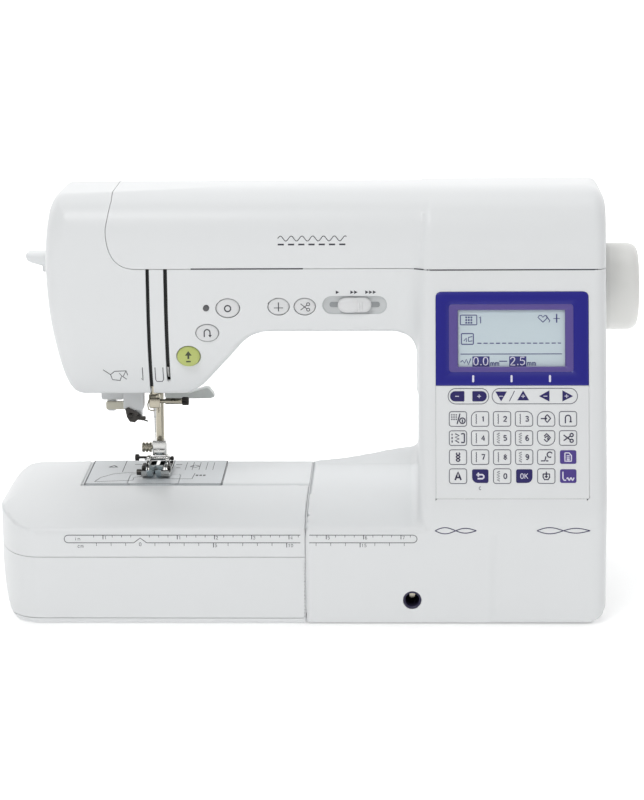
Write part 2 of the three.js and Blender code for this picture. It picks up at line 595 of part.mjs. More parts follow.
const FEED = { x0: -9, x1: 11, y0: 115, y1: 130 };
function feedDog() {
  const bar = block(FEED.x0, FEED.x1, FEED.y0, FEED.y1, 71.5, 74.5);
  const rows = [FEED.x0, -2.5, 3.5, FEED.x1 - 3].flatMap((x) => {
    const teeth = Array.from({ length: 6 }, (_, i) => {
      const y = FEED.y0 + 0.2 + i * 2.4;
      return extrude("x", polygon([[y, 74], [y + 2.4, 74], [y + 2.4, 76.4], [y + 0.2, 77.6]]), x, x + 3);
    });
    return teeth;
  });
  return all([bar, ...rows]);
}
piece("feed_dog", feedDog(), MATERIAL.steel);

/** Needle plate with the needle slot, feed dog slots and the bobbin opening. */
function needlePlate() {
  const top = BED_TOP + 0.2;
  const plate = extrude("z", roundRect(PLATE.left, PLATE.right, FREE_ARM.front + 1.6, FREE_ARM.back - 1.6, 3),
    BED_TOP - PLATE.thick + 0.3, top, 3);
  const feedSlots = [FEED.x0, -2.5, 3.5, FEED.x1 - 3].map((x) =>
    block(x - 0.5, x + 3.5, FEED.y0 - 2.8, FEED.y1 + 2.8, 70, 80));
  return cut(plate, ...feedSlots, block(-2.4, 4.4, NEEDLE.y - 1.5, NEEDLE.y + 1, 70, 80),
    extrude("z", roundRect(-17.4, 19.4, FREE_ARM.front + 1, 109.4, 3), 70, 80, 3));
}
piece("needle_plate", needlePlate(), MATERIAL.chrome);
piece("bobbin_cover_plate", extrude("z", roundRect(-17, 19, FREE_ARM.front + 1.6, 109, 3),
  BED_TOP - PLATE.thick + 0.3, BED_TOP + 0.2, 3), MATERIAL.clear);
piece("feed_dog_switch", block(24, 30, FREE_ARM.back - 4, FREE_ARM.back + 3, 51, 57), MATERIAL.black);

// ---------------------------------------------------------------- head mechanism
const BAR_RADIUS = 3.2;
function needleBar() {
  const bar = rod("z", NEEDLE.x, NEEDLE.y, BAR_RADIUS, 137.4, 268, 16);
  return bar.add(block(NEEDLE.x - 5, crankX - 3.4, NEEDLE.y - 6, NEEDLE.y + 6, 199.5, 207.5));
}
function needleClamp() {
  const body = block(NEEDLE.x - 3.4, NEEDLE.x + 4.6, NEEDLE.y - 5, NEEDLE.y + 4, 127, 137);
  return cut(body, rod("z", NEEDLE.x, NEEDLE.y, 1.3, 120, 134, 12),
    rod("x", NEEDLE.y, 131.6, 1.9, NEEDLE.x + 1.2, NEEDLE.x + 8, 12));
}
piece("needle_bar", needleBar(), MATERIAL.steel);
piece("needle_clamp", needleClamp(), MATERIAL.steel);
piece("needle_clamp_screw", all([
  rod("x", NEEDLE.y, 131.6, 1.5, NEEDLE.x + 1.6, 12, 12),
  rod("x", NEEDLE.y, 131.6, 3, 9, 25.8, 16)]), MATERIAL.steel);
piece("needle", turned("z", NEEDLE.x, NEEDLE.y, [
  [0, 103], [0.55, 107], [0.55, 119], [1, 121], [1, 133.5], [0, 133.5]], 12), MATERIAL.chrome);
function takeUpLever() {
  const pivot = { y: 88, z: 214 };
  const arm = polygon([[pivot.y + 5, pivot.z - 4], [pivot.y + 5, pivot.z + 4], [62, 232], [59, 229], [60, 224]]);
  return all([extrude("x", arm, 3.4, 4.6), rod("x", pivot.y, pivot.z, 4.4, 3.4, 4.6, 16),
    rod("x", pivot.y, pivot.z, 2, 4, 10, 12)]);
}
piece("take_up_lever", takeUpLever(), MATERIAL.chrome);

const LIFT = { x: 8, y: 160, z: 127 };
piece("presser_bar", all([
  rod("z", PRESSER.x, PRESSER.y, 3, 99, 262, 16),
  block(PRESSER.x - 5, PRESSER.x + 5, PRESSER.y - 5, PRESSER.y + 5, 176, 186)]), MATERIAL.steel);
function footHolder() {
  return all([
    block(PRESSER.x - 5, PRESSER.x + 5, PRESSER.y - 11, PRESSER.y - 3.4, 92, 101),
    block(PRESSER.x - 5, PRESSER.x + 5, PRESSER.y - 11, PRESSER.y + 4, 92, 98.6),
    block(PRESSER.x - 4, PRESSER.x + 4, PRESSER.y - 11.6, PRESSER.y - 4, 86, 96)]);
}
function presserFoot() {
  const sole = extrude("z", roundRect(-8, 12, 97, 136, 2.5), 79, 81.5, 3);
  const toe = extrude("x", polygon([[93, 83], [97, 79], [101, 79], [101, 81.5], [97, 82.6], [94, 85]]), -8, 12);
  const ears = [-5.8, 7.5].map((x) => block(x, x + 3, 112, 123, 81, 90));
  const slot = block(-3.6, 5.6, 108.5, 115.5, 70, 90);
  const gap = block(0.2, 1.8, 90, 110, 70, 90);
  return cut(all([sole, toe, ...ears]), slot, gap).add(rod("x", 119.5, 87.5, 1.4, -5, 10, 12));
}
const holder = footHolder().subtract(rod("x", 119.5, 87.5, 1.8, -20, 20, 12));
piece("presser_foot_holder", holder, MATERIAL.chrome);
piece("presser_foot", presserFoot(), MATERIAL.chrome);
piece("presser_foot_screw", all([
  rod("x", PRESSER.y - 7, 95.5, 1.6, PRESSER.x - 12, PRESSER.x - 5.4, 12),
  rod("x", PRESSER.y - 7, 95.5, 3.4, PRESSER.x - 16, PRESSER.x - 9, 16)]), MATERIAL.steel);
piece("presser_lift_lever", all([
  rod("y", LIFT.x, LIFT.z + 26, 5, 150, 170, 16),
  block(LIFT.x - 5, LIFT.x + 5, LIFT.y - 5, LIFT.y + 5, LIFT.z - 5, LIFT.z + 26),
  block(LIFT.x - 5, 41, LIFT.y - 5, LIFT.y + 6, LIFT.z - 5.5, LIFT.z + 4)]), MATERIAL.key);

function threaderLever() {
  const { y0, y1, z1 } = THREADER;
  const shank = block(-79, -59, y0 + 0.5, y1 - 0.5, z1 - 16, z1 - 4);
  const grip = extrude("y", roundRect(-89.5, -74.5, z1 - 17, z1 - 3, 5), y0 - 8, y1 + 6, 4);
  return grip.add(shank);
}
piece("threader_lever", threaderLever(), MATERIAL.casing);
piece("threader_arm", all([
  rod("z", -14, 111, 2.4, 130, 176, 12),
  block(-20, -6, 105, 117, 123, 135),
  block(-18, -6, 109, 114.6, 117, 123.4),
  block(-8, -5, 111.4, 113, 112, 119)]), MATERIAL.casing);
piece("buttonhole_lever", all([
  block(-34, -28, 126, 131, 130, 178),
  block(-38, -23, 123, 134, 122, 134)]), MATERIAL.casing);

// ---------------------------------------------------------------- frame
/** The cast frame carries the shafts, the needle bar and the presser bar. */
function mainFrame() {
  const parts = [
    block(-12, 14, 140, 147, 160, 262), // head plate
    block(-7, 10, 105, 142, 160, 168), // lower guide
    block(-7, 10, 105, 142, 254, 262), // upper guide
    block(12, 214, 136, 147, 196, 232), // arm beam
    block(38, 46, 84, 138, 200, 230), // front bearing of the upper shaft
    block(150, 158, 100, 138, 200, 230),
    block(200, 214, 100, 147, 14, 236), // column post
    block(-40, 202, 139, 147, 34, 66), // free arm beam
    block(-26, -12, 84, 140, 36, 44), // hook bracket
    block(30, 38, 112, 140, 38, 58), // lower shaft bearing
    block(200, 304, 100, 196, 8.4, 14), // foot on the tray
    block(206, 308, 184, 190, 12, 136), // motor bracket
    block(262, 290, 178, 186, 100, 120),
  ];
  return cut(all(parts),
    rod("x", UPPER.y, UPPER.z, SHAFT_RADIUS + BEARING_GAP, 30, 220, 16),
    rod("x", LOWER.y, LOWER.z, SHAFT_RADIUS + BEARING_GAP, 20, 240, 16),
    rod("z", NEEDLE.x, NEEDLE.y, BAR_RADIUS + BEARING_GAP, 150, 270, 16),
    rod("z", PRESSER.x, PRESSER.y, 3 + BEARING_GAP, 150, 270, 16),
    rod("x", MOTOR.y, MOTOR.z, 22.4, 245, 305, 24));
}
piece("main_frame", mainFrame(), MATERIAL.cast);

// ---------------------------------------------------------------- top deck pieces
const DECK = LID_SEAM + 2.4;
piece("spool_pin", all([
  block(238, 246, 96, 114, DECK + GAP, DECK + 26),
  rod("x", 105, DECK + 20, 3, 160, 240, 12)]), MATERIAL.casing);
piece("spool_cap", turned("x", 105, DECK + 20, [
  [3.3, 168], [14, 168], [15, 169.5], [6, 173], [5, 180], [3.3, 180], [3.3, 168]], 24), MATERIAL.casing);
piece("bobbin_winder_shaft", turned("z", 288, 104, [
  [0, DECK + GAP], [8, DECK + GAP], [8, DECK + 4], [2.6, DECK + 4], [2.6, DECK + 20], [0, DECK + 20]], 16),
  MATERIAL.casing);

// ---------------------------------------------------------------- back and side pieces
/** Carrying handle, folded down against the back of the arm. */
function carryHandle() {
  const { x0, x1, y, z } = HANDLE;
  return all([
    block(x0, x0 + 9, y - 4, y + 4.6, 206, z + 4),
    block(x1 - 9, x1, y - 4, y + 4.6, 206, z + 4),
    block(x0, x1, y - 4, y + 5, 196, 214)]);
}
piece("carry_handle", carryHandle(), MATERIAL.grey);

function powerInlet() {
  const p = PORTS.power_inlet;
  return cut(block(SIDE_RIGHT - 18, SIDE_RIGHT - 0.4, p.y0, p.y1, p.z0, p.z1),
    block(SIDE_RIGHT - 14, SIDE_RIGHT + 1, p.y0 + 3, p.y1 - 3, p.z0 + 3, p.z1 - 3));
}
piece("power_inlet", powerInlet(), MATERIAL.black);
function powerSwitch() {
  const p = PORTS.power_switch;
  const rocker = polygon([[p.y0, p.z0], [p.y1, p.z0], [p.y1, p.z1], [p.y0, p.z1]]);
  return extrude("x", rocker, SIDE_RIGHT - 10, SIDE_RIGHT + 1.5);
}
piece("power_switch", powerSwitch(), MATERIAL.black);
function controlJack() {
  const p = PORTS.foot_control_jack;
  const y = (p.y0 + p.y1) / 2;
  const z = (p.z0 + p.z1) / 2;
  return cut(block(SIDE_RIGHT - 14, SIDE_RIGHT - 0.4, p.y0, p.y1, p.z0, p.z1),
    rod("x", y, z, 1.8, SIDE_RIGHT - 12, SIDE_RIGHT + 1, 16));
}
piece("foot_control_jack", controlJack(), MATERIAL.black);
piece("knee_lifter_socket", rod("y", SOCKET.x, SOCKET.z, SOCKET.r, 0.4, 22, 24)
  .subtract(rod("y", SOCKET.x, SOCKET.z, SOCKET.r - 1.4, -1, 20, 24)), MATERIAL.grey);

export default machine;
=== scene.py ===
"""Looks of a computerised household sewing machine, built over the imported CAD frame.

Lengths are millimetres in the CAD's work frame: the needle at X = 1, the bed's front at Y = 0 and the
table at Z = 0. place() moves points from there to the shared frame in metres.
"""
import json
import math

import bmesh
import bpy
import numpy as np
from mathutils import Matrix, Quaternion, Vector

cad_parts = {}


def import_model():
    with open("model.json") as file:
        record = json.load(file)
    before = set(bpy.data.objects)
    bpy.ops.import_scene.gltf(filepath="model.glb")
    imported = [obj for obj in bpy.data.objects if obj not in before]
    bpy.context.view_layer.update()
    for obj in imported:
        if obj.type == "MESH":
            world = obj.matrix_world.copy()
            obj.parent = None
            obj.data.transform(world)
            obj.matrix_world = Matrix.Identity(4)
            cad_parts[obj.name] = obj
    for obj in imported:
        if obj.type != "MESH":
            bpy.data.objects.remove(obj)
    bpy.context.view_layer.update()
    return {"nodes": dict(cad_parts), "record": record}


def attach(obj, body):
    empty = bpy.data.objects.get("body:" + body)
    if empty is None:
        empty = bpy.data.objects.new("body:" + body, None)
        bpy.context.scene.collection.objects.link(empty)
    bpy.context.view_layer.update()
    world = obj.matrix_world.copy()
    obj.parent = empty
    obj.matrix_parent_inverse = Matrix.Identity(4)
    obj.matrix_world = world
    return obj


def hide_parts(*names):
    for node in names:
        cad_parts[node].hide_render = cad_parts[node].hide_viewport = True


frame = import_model()

SHIFT = np.array([-120.0, -100.0, 0.0])  # work frame to shared frame
RIGHT, BACK, TOP = 318, 200, 290.5  # the casing's right side, back and top
HEAD_BOTTOM, ARM_BOTTOM, BED_TOP = 147.5, 193.8, 78
SEAM = 238.5  # lower edge of the top cover
SKIRT = 0.8  # lower edge of the base and the flat bed
SKIN = 2.4  # thickness of the moulded covers
GAP = 0.4  # seam round the lid and the accessory door
MESH_STEP = 2.5
LEAN = math.radians(15)
PANEL_FOOT = (21 / 2 * math.tan(LEAN), 88.0)  # (y, z) of the control panel's lower end
PANEL_TOP_Y = PANEL_FOOT[0] + (SEAM - 88) * math.tan(LEAN)
NEEDLE = (1, 112)  # (x, y) of its axis
CLAMP_SCREW = (112, 131.6)  # (y, z) of its axis
FOOT_AXLE = (119.5, 87.5)  # (y, z) of the pin that the presser foot rocks on
PLATE_TOP = 78.2  # top of the needle plate
WHEEL = (112, 214.4)  # (y, z) of the handwheel's axis
KNEE_LIFTER = (185.4, 17.3)  # (x, z) of its socket


def place(points):
    return (np.asarray(points, float) + SHIFT) * 0.001


def pts(numbers):
    """Points in a plane from a line of numbers, two for each."""
    return np.array(numbers.split(), float).reshape(-1, 2)


def unit(v):
    return v / np.maximum(np.linalg.norm(v, axis=1), 1e-9)[:, None]


# ------------------------------------------------------------------ outlines as distance fields
def outline(start, *moves):
    """Points round a closed outline. A move is a line, quadratic or cubic by how many numbers it has."""
    points = [np.array(start, float)]
    for move in moves + (tuple(start),):
        control = [points[-1]] + [np.array(move[i:i + 2], float) for i in range(0, len(move), 2)]
        count = math.ceil(sum(np.linalg.norm(b - a) for a, b in zip(control, control[1:])) / 1.5)
        for i in range(1, count + 1):
            q = control
            while len(q) > 1:
                q = [a + (b - a) * (i / count) for a, b in zip(q, q[1:])]
            points.append(q[0])
    return np.array(points[:-1] if np.allclose(points[0], points[-1]) else points)


class Field:
    """Signed distance to a closed outline, negative inside, kept on a fine grid with its direction."""

    STEP = 0.8

    def __init__(self, axes, points, low, high):
        self.axes = axes
        area = np.sum(points[:, 0] * np.roll(points[:, 1], -1) - points[:, 1] * np.roll(points[:, 0], -1))
        self.points = points if area > 0 else points[::-1]
        self.low = np.array(low, float)
        self.shape = tuple(int(math.ceil((h - l) / self.STEP)) + 1 for l, h in zip(low, high))
        a, b = (self.low[k] + np.arange(self.shape[k]) * self.STEP for k in (0, 1))
        flat = np.stack(np.meshgrid(a, b, indexing="ij"), -1).reshape(-1, 2)
        table = np.concatenate([self._measure(c) for c in np.array_split(flat, len(flat) // 4000 + 1)])
        self.table = table.reshape(self.shape + (3,))

    def _measure(self, p):
        """Distance and direction for points p, straight from the outline."""
        start = self.points
        edge = np.roll(start, -1, 0) - start
        size = np.linalg.norm(edge, axis=1)
        side = np.stack([edge[:, 1], -edge[:, 0]], 1) / size[:, None]
        corner = unit(side + np.roll(side, 1, 0))
        rel_x = p[:, 0, None] - start[None, :, 0]
        rel_y = p[:, 1, None] - start[None, :, 1]
        t = np.clip((rel_x * edge[:, 0] + rel_y * edge[:, 1]) / size ** 2, 0, 1)
        gap = (rel_x - t * edge[:, 0]) ** 2 + (rel_y - t * edge[:, 1]) ** 2
        near = np.argmin(gap, 1)
        rows = np.arange(len(p))
        end_y = np.roll(start[:, 1], -1)
        spans = (start[None, :, 1] > p[:, 1, None]) != (end_y[None, :] > p[:, 1, None])
        with np.errstate(divide="ignore", invalid="ignore"):
            cross = rel_y / edge[:, 1] * edge[:, 0] - rel_x > 0
        inside = (np.sum(spans & cross, 1) % 2) == 1
        distance = np.sqrt(gap[rows, near]) * np.where(inside, -1, 1)
        share = t[rows, near][:, None]
        way = unit(corner[near] * (1 - share) + np.roll(corner, -1, 0)[near] * share)
        return np.concatenate([distance[:, None], way], 1)

    def __call__(self, p):
        """Distance and gradient in three dimensions at points p."""
        a, b = self.axes
        uv = np.clip((p[:, [a, b]] - self.low) / self.STEP, 0, np.array(self.shape) - 1.001)
        cell = uv.astype(int)
        i, j = cell[:, 0], cell[:, 1]
        u, v = (uv - cell)[:, :1], (uv - cell)[:, 1:]
        t = self.table
        near, far = t[i, j] * (1 - u) + t[i + 1, j] * u, t[i, j + 1] * (1 - u) + t[i + 1, j + 1] * u
        mixed = near * (1 - v) + far * v
        gradient = np.zeros((len(p), 3))
        gradient[:, a] = mixed[:, 1]
        gradient[:, b] = mixed[:, 2]
        return mixed[:, 0], gradient


def ramp(x, low, high):
    """0 below low, 1 above high, smooth between."""
    t = np.clip((x - low) / (high - low), 0, 1)
    return t * t * (3 - 2 * t)


def common(a, ga, b, gb, radius):
    """What two fields share, with the edge rounded to radius where their faces meet."""
    r = radius * np.clip(1 - np.sum(ga * gb, 1), 0, 1)
    ea, eb = np.maximum(a + r, 0), np.maximum(b + r, 0)
    length = np.sqrt(ea ** 2 + eb ** 2)
    both = (a > -r) & (b > -r) & (length > 1e-9)
    mixed = (ea[:, None] * ga + eb[:, None] * gb) / np.maximum(length, 1e-9)[:, None]
    way = np.where(both[:, None], mixed, np.where((a > b)[:, None], ga, gb))
    return np.where(both, length - r, np.maximum(a, b)), way


def meet(p, radius, *fields):
    """The common part of several fields at points p."""
    (a, ga), *others = (f(p) for f in fields)
    for b, gb in others:
        a, ga = common(a, ga, b, gb, radius)
    return a, ga


def join(first, second, radius):
    """Two solids as one, with a fillet where their faces meet at an angle."""
    value, way = common(-first[0], -first[1], -second[0], -second[1], radius)
    return -value, -way


# ------------------------------------------------------------------ the moulded covers' shapes
YZ, XZ, XY = (1, 2), (0, 2), (0, 1)
ARM_PROFILE = Field(YZ, outline(
    (176, 120), (176, 246), (176, 281, 138, 287), (112, TOP, 88, TOP), (50, TOP, 50, 254), (50, 215),
    (50, 178, 66, HEAD_BOTTOM), (78, 120)), (35, 140), (185, 298))
ARM_OUTLINE = Field(XZ, outline(
    (-44, HEAD_BOTTOM), (26, HEAD_BOTTOM), (34, 148.5, 42, 156), (66, 183), (74, ARM_BOTTOM, 88, ARM_BOTTOM),
    (170, ARM_BOTTOM), (190, ARM_BOTTOM, 190, 172.5), (190, 152.5), (206, 152.5), (206, TOP), (50, TOP),
    (-54, 288), (-63.5, 287.5, -65.6, 274), (-68.5, 244, -67.5, 228), (-65.5, 180, -54, 156),
    (-50, HEAD_BOTTOM, -44, HEAD_BOTTOM)), (-82, 140), (215, 298))
COLUMN_PROFILE = Field(YZ, outline(
    (0, SKIRT), (BACK, SKIRT), (BACK, 222), (BACK, 281, 142, 287.5), (112, TOP, 88, TOP),
    (48, TOP, PANEL_TOP_Y + 3, 252), (PANEL_TOP_Y, SEAM), PANEL_FOOT, (0, 77.5, 0, 67)), (-8, -6), (208, 298))
COLUMN_OUTLINE = Field(XZ, outline(
    (201, SKIRT), (302, SKIRT), (RIGHT, SKIRT, RIGHT, 15), (RIGHT, 277), (RIGHT, TOP, 305, TOP), (190, TOP),
    (190, SKIRT)), (140, -6), (326, 298))
BASE_PLAN = Field(XY, outline(
    (113, 0), (306, 0), (RIGHT, 0, RIGHT, 12), (RIGHT, 188), (RIGHT, BACK, 306, BACK), (204, BACK),
    (166, BACK, 152, 159.5, 113, 153.5)), (85, -8), (326, 208))
BED_PROFILE = Field(YZ, outline(
    (0, SKIRT), (230, SKIRT), (230, BED_TOP), (76, BED_TOP), (30, BED_TOP, 2.6, 68.4), (0.2, 67.4, 0, 64.5)),
    (-8, -6), (208, 90))
BED_PLAN = Field(XY, outline(
    (112.6, 0), (-70, 0), (-92, 0, -104, 34, -104, 82), (-104, 124, -101, 147, -88, 148.5),
    (-49.4, 151.5), (-49.4, 80.1), (112.6, 80.1)), (-112, -8), (120, 160))
BED_OUTLINE = Field(XZ, outline(
    (130, SKIRT), (-84, SKIRT), (-93, SKIRT, -97, 16), (-104, 42, -105.5, 62),
    (-105.5, BED_TOP, -86, BED_TOP), (130, BED_TOP)), (-114, -6), (120, 86))


def base_end(p):
    """The base ends inside the column, so that only the column shapes the right side."""
    gradient = np.zeros((len(p), 3))
    gradient[:, 0] = 1
    return p[:, 0] - 240, gradient


def casing(p):
    """The arm, head, column and fixed base."""
    x, z = p[:, 0], p[:, 2]
    head_edge = 3.5 + 12 * ramp(-x, -10, 40) * ramp(z, 150, 185) + 4 * ramp(z, 250, 275)
    arm = meet(p, head_edge, ARM_PROFILE, ARM_OUTLINE)
    column = meet(p, 3 + 6 * ramp(z, 15, 60), COLUMN_PROFILE, COLUMN_OUTLINE, BASE_PLAN)
    base = meet(p, 0.4 + 1.6 * ramp(x, 114, 126), BED_PROFILE, BASE_PLAN, base_end)
    upper = join(arm, column, 17 * (1 - ramp(z, 225, 262)))
    return join(upper, base, np.full(len(p), 6.0))


def flat_bed(p):
    return meet(p, 0.4 + 1.2 * ramp(-p[:, 0], -110, -96), BED_PROFILE, BED_PLAN, BED_OUTLINE)


# ------------------------------------------------------------------ surfaces from the shapes
CORNERS = np.array([(i, j, k) for i in (0, 1) for j in (0, 1) for k in (0, 1)])
EDGES = [(a, b) for a in range(8) for b in range(a + 1, 8) if np.abs(CORNERS[a] - CORNERS[b]).sum() == 1]


def settle(shape, points, steps=3):
    """Moves points onto the surface where shape is zero, at most 2 mm a step."""
    for _ in range(steps):
        value, way = shape(points)
        size = np.maximum(np.sum(way ** 2, 1), 0.25)
        points = points - np.clip(value / size, -2.0, 2.0)[:, None] * way
    return points


def skin(shape, low, high, step):
    """A surface net round the solid where shape is negative, as vertices and triangles."""
    axes = [np.arange(l, h + step, step) for l, h in zip(low, high)]
    size = tuple(len(a) for a in axes)
    d = np.empty(size)
    ys, zs = np.meshgrid(axes[1], axes[2], indexing="ij")
    for i, x in enumerate(axes[0]):
        d[i] = shape(np.stack([np.full(ys.size, x), ys.ravel(), zs.ravel()], 1))[0].reshape(ys.shape)
    inside = d < 0
    cells = [inside[tuple(slice(c, n - 1 + c) for c, n in zip(corner, size))] for corner in CORNERS]
    count = np.sum(cells, 0)
    active = np.argwhere((count > 0) & (count < 8))
    number = np.full(count.shape, -1)
    number[tuple(active.T)] = np.arange(len(active))
    total, hits = np.zeros((len(active), 3)), np.zeros((len(active), 1))
    for a, b in EDGES:
        ca, cb = active + CORNERS[a], active + CORNERS[b]
        da, db = d[tuple(ca.T)], d[tuple(cb.T)]
        crossing = (da < 0) != (db < 0)
        t = np.where(crossing, da / np.where(crossing, da - db, 1), 0)[:, None]
        total += np.where(crossing[:, None], ca + (cb - ca) * t, 0)
        hits += crossing[:, None]
    points = settle(shape, np.array(low) + total / hits * step)
    faces = []
    for axis, (u, v) in enumerate(((1, 2), (2, 0), (0, 1))):
        near = np.argwhere(np.diff(inside.astype(int), axis=axis) != 0)
        near = near[(near[:, u] > 0) & (near[:, v] > 0)]
        one, two = np.eye(3, dtype=int)[u], np.eye(3, dtype=int)[v]
        quad = np.stack([number[tuple((near - s).T)] for s in (0 * one, one, one + two, two)], 1)
        faces.append(np.where(inside[tuple(near.T)][:, None], quad, quad[:, ::-1]))
    quads = np.concatenate(faces)
    a, b, c, e = (points[quads[:, k]] for k in range(4))
    shorter = (np.linalg.norm(a - c, axis=1) < np.linalg.norm(b - e, axis=1))[:, None]
    one = np.where(shorter, quads[:, [0, 1, 2]], quads[:, [0, 1, 3]])
    two = np.where(shorter, quads[:, [0, 2, 3]], quads[:, [1, 2, 3]])
    return points, np.concatenate([one, two])


def onto_cut(shape, value, points):
    """Moves points to where the cut's value is zero, and back onto the surface."""
    for _ in range(2):
        g = np.empty_like(points)
        for k, h in enumerate(np.eye(3) * 0.01):
            g[:, k] = (value(points + h) - value(points - h)) / 0.02
        points = points - (value(points) / np.maximum(np.sum(g ** 2, 1), 0.1))[:, None] * g
        points = settle(shape, points, 1)
    return points


def three_sides(faces):
    return np.concatenate([faces[:, [0, 1]], faces[:, [1, 2]], faces[:, [2, 0]]])


def split(shape, points, faces, value):
    """Cuts the triangles along value = 0, first pulling vertices within 0.3 mm of the cut onto it."""
    s = value(points)
    close = np.abs(s) < 0.3
    if close.any():
        points, s = points.copy(), s.copy()
        points[close] = onto_cut(shape, value, points[close])
        s[close] = 0
    sign = np.sign(s)
    mixed = (sign[faces].min(1) < 0) & (sign[faces].max(1) > 0)
    work, keep = faces[mixed], faces[~mixed]
    if not len(work):
        return points, faces
    ends = np.sort(three_sides(work), 1)
    crossing = sign[ends[:, 0]] * sign[ends[:, 1]] < 0
    unique, back = np.unique(ends[crossing], axis=0, return_inverse=True)
    pa, pb = points[unique[:, 0]], points[unique[:, 1]]
    sa, sb = s[unique[:, 0]], s[unique[:, 1]]
    fresh = onto_cut(shape, value, pa + (pb - pa) * (sa / (sa - sb))[:, None])
    ids = np.full(len(ends), -1)
    ids[crossing] = len(points) + np.ravel(back)
    points = np.concatenate([points, fresh])
    mids = ids.reshape(3, -1).T
    made_faces = []
    for turn in range(3):
        a, b, c = np.roll(work, -turn, 1).T
        ab, bc, ca = np.roll(mids, -turn, 1).T
        alone = (ab >= 0) & (ca >= 0)
        through = (bc >= 0) & (ab < 0) & (ca < 0)
        for chosen, corners in ((alone, (a, ab, ca)), (alone, (ab, b, c)), (alone, (ab, c, ca)),
                                (through, (a, b, bc)), (through, (a, bc, c))):
            made_faces.append(np.stack(corners, 1)[chosen])
    return points, np.concatenate([keep] + made_faces)


def thick(shape, points, faces, depth):
    """A closed shell from an open skin: vertices, faces and a normal for every face corner."""
    used, faces = np.unique(faces, return_inverse=True)
    faces = faces.reshape(-1, 3)
    points = points[used]
    way = unit(shape(points)[1])
    n = len(points)
    ends = three_sides(faces)
    _, first, times = np.unique(np.sort(ends, 1) @ np.array([n, 1]), return_index=True, return_counts=True)
    rim = ends[first[times == 1]]
    rim_faces = np.stack([rim[:, 1], rim[:, 0], rim[:, 0] + n, rim[:, 1] + n], 1)
    verts = np.concatenate([points, points - way * depth])
    a, b, c = (verts[rim_faces[:, k]] for k in range(3))
    back = faces[:, ::-1]
    flat = np.repeat(unit(np.cross(b - a, c - b)), 4, 0)
    loops = np.concatenate([way[faces].reshape(-1, 3), -way[back].reshape(-1, 3), flat])
    return verts, [faces, back + n, rim_faces], loops


# ------------------------------------------------------------------ materials
def shader_node(tree, kind, **values):
    """A new shader node with its inputs set; an underscore in a name stands for a space."""
    node = tree.nodes.new("ShaderNode" + kind)
    for key, value in values.items():
        node.inputs[key.replace("_", " ")].default_value = value
    return node


def shader(name, base, tone=0.02, rough=0.3, relief=0.03, **settings):
    """A principled material with fine procedural variation in colour, roughness and relief."""
    material = bpy.data.materials.new(name)
    material.use_nodes = True
    tree = material.node_tree
    main = tree.nodes["Principled BSDF"]
    where = shader_node(tree, "TexCoord")
    noise = shader_node(tree, "TexNoise", Scale=900, Detail=4)
    cloud = shader_node(tree, "TexNoise", Scale=14)
    colour = shader_node(tree, "MixRGB", Color1=tuple(c * (1 - tone) for c in base) + (1,),
                         Color2=tuple(min(1, c * (1 + tone)) for c in base) + (1,))
    spread = shader_node(tree, "MapRange", To_Min=rough * 0.85, To_Max=min(1, rough * 1.2))
    bump = shader_node(tree, "Bump", Strength=relief, Distance=0.0002)
    for source, output, target, socket_name in (
            (where, "Object", noise, "Vector"), (where, "Object", cloud, "Vector"),
            (cloud, "Fac", colour, "Fac"), (colour, "Color", main, "Base Color"),
            (noise, "Fac", spread, "Value"), (spread, "Result", main, "Roughness"),
            (noise, "Fac", bump, "Height"), (bump, "Normal", main, "Normal")):
        tree.links.new(source.outputs[output], target.inputs[socket_name])
    for key, value in settings.items():
        main.inputs[key.replace("_", " ")].default_value = value
    return material


def srgb(r, g, b):
    """A colour from 0-255 display values to linear light."""
    shares = (r / 255, g / 255, b / 255)
    return tuple(c / 12.92 if c <= 0.04045 else ((c + 0.055) / 1.055) ** 2.4 for c in shares)


MATERIALS = {
    "casing": shader("glossy_white", srgb(232, 234, 235), tone=0.006, rough=0.34, relief=0.01,
                     Specular_IOR_Level=0.35),
    "wheel": shader("wheel_grey", srgb(232, 232, 229), rough=0.35),
    "key": shader("key_white", srgb(226, 227, 228), rough=0.45),
    "green": shader("key_green", srgb(190, 201, 118), rough=0.35),
    "bezel": shader("bezel_blue", srgb(30, 28, 136), rough=0.3),
    "screen": shader("screen_glass", srgb(206, 220, 226), rough=0.12),
    "clear": shader("smoked_clear", srgb(212, 216, 219), rough=0.12, Alpha=0.85),
    "grey": shader("plain_grey", srgb(150, 154, 156), rough=0.45),
    "black": shader("plain_black", srgb(30, 30, 32), rough=0.4),
    "rubber": shader("soft_rubber", srgb(60, 61, 63), rough=0.8, relief=0.2),
    "board": shader("circuit_green", srgb(34, 92, 60), rough=0.5),
    "steel": shader("brushed_steel", srgb(196, 197, 198), rough=0.28, Metallic=1.0),
    "chrome": shader("plated_steel", srgb(214, 214, 212), rough=0.13, Metallic=1.0),
    "cast": shader("cast_metal", srgb(160, 163, 165), rough=0.5, Metallic=1.0, relief=0.25),
}
INK_GREY = shader("ink_grey", srgb(58, 58, 66), rough=0.5, tone=0.05)
INK_PALE = shader("ink_pale", srgb(98, 100, 110), rough=0.5, tone=0.05)
INK_NAVY = shader("ink_navy", srgb(36, 28, 80), rough=0.4, tone=0.05)
INK_DARK = shader("ink_dark", srgb(44, 40, 72), rough=0.45, tone=0.05)
INK_LIGHT = shader("ink_light", srgb(226, 224, 240), rough=0.4, tone=0.02)
NAVY = shader("key_navy", srgb(38, 30, 98), rough=0.4, tone=0.05)
PURPLE = shader("key_purple", srgb(78, 60, 140), rough=0.4, tone=0.05)
LILAC = shader("frame_purple", srgb(96, 82, 152), rough=0.3, tone=0.04)
LCD_DARK = shader("screen_dark", srgb(64, 64, 126), rough=0.3, tone=0.05)
DARK_METAL = shader("dark_metal", srgb(70, 68, 66), rough=0.3, Metallic=1.0)
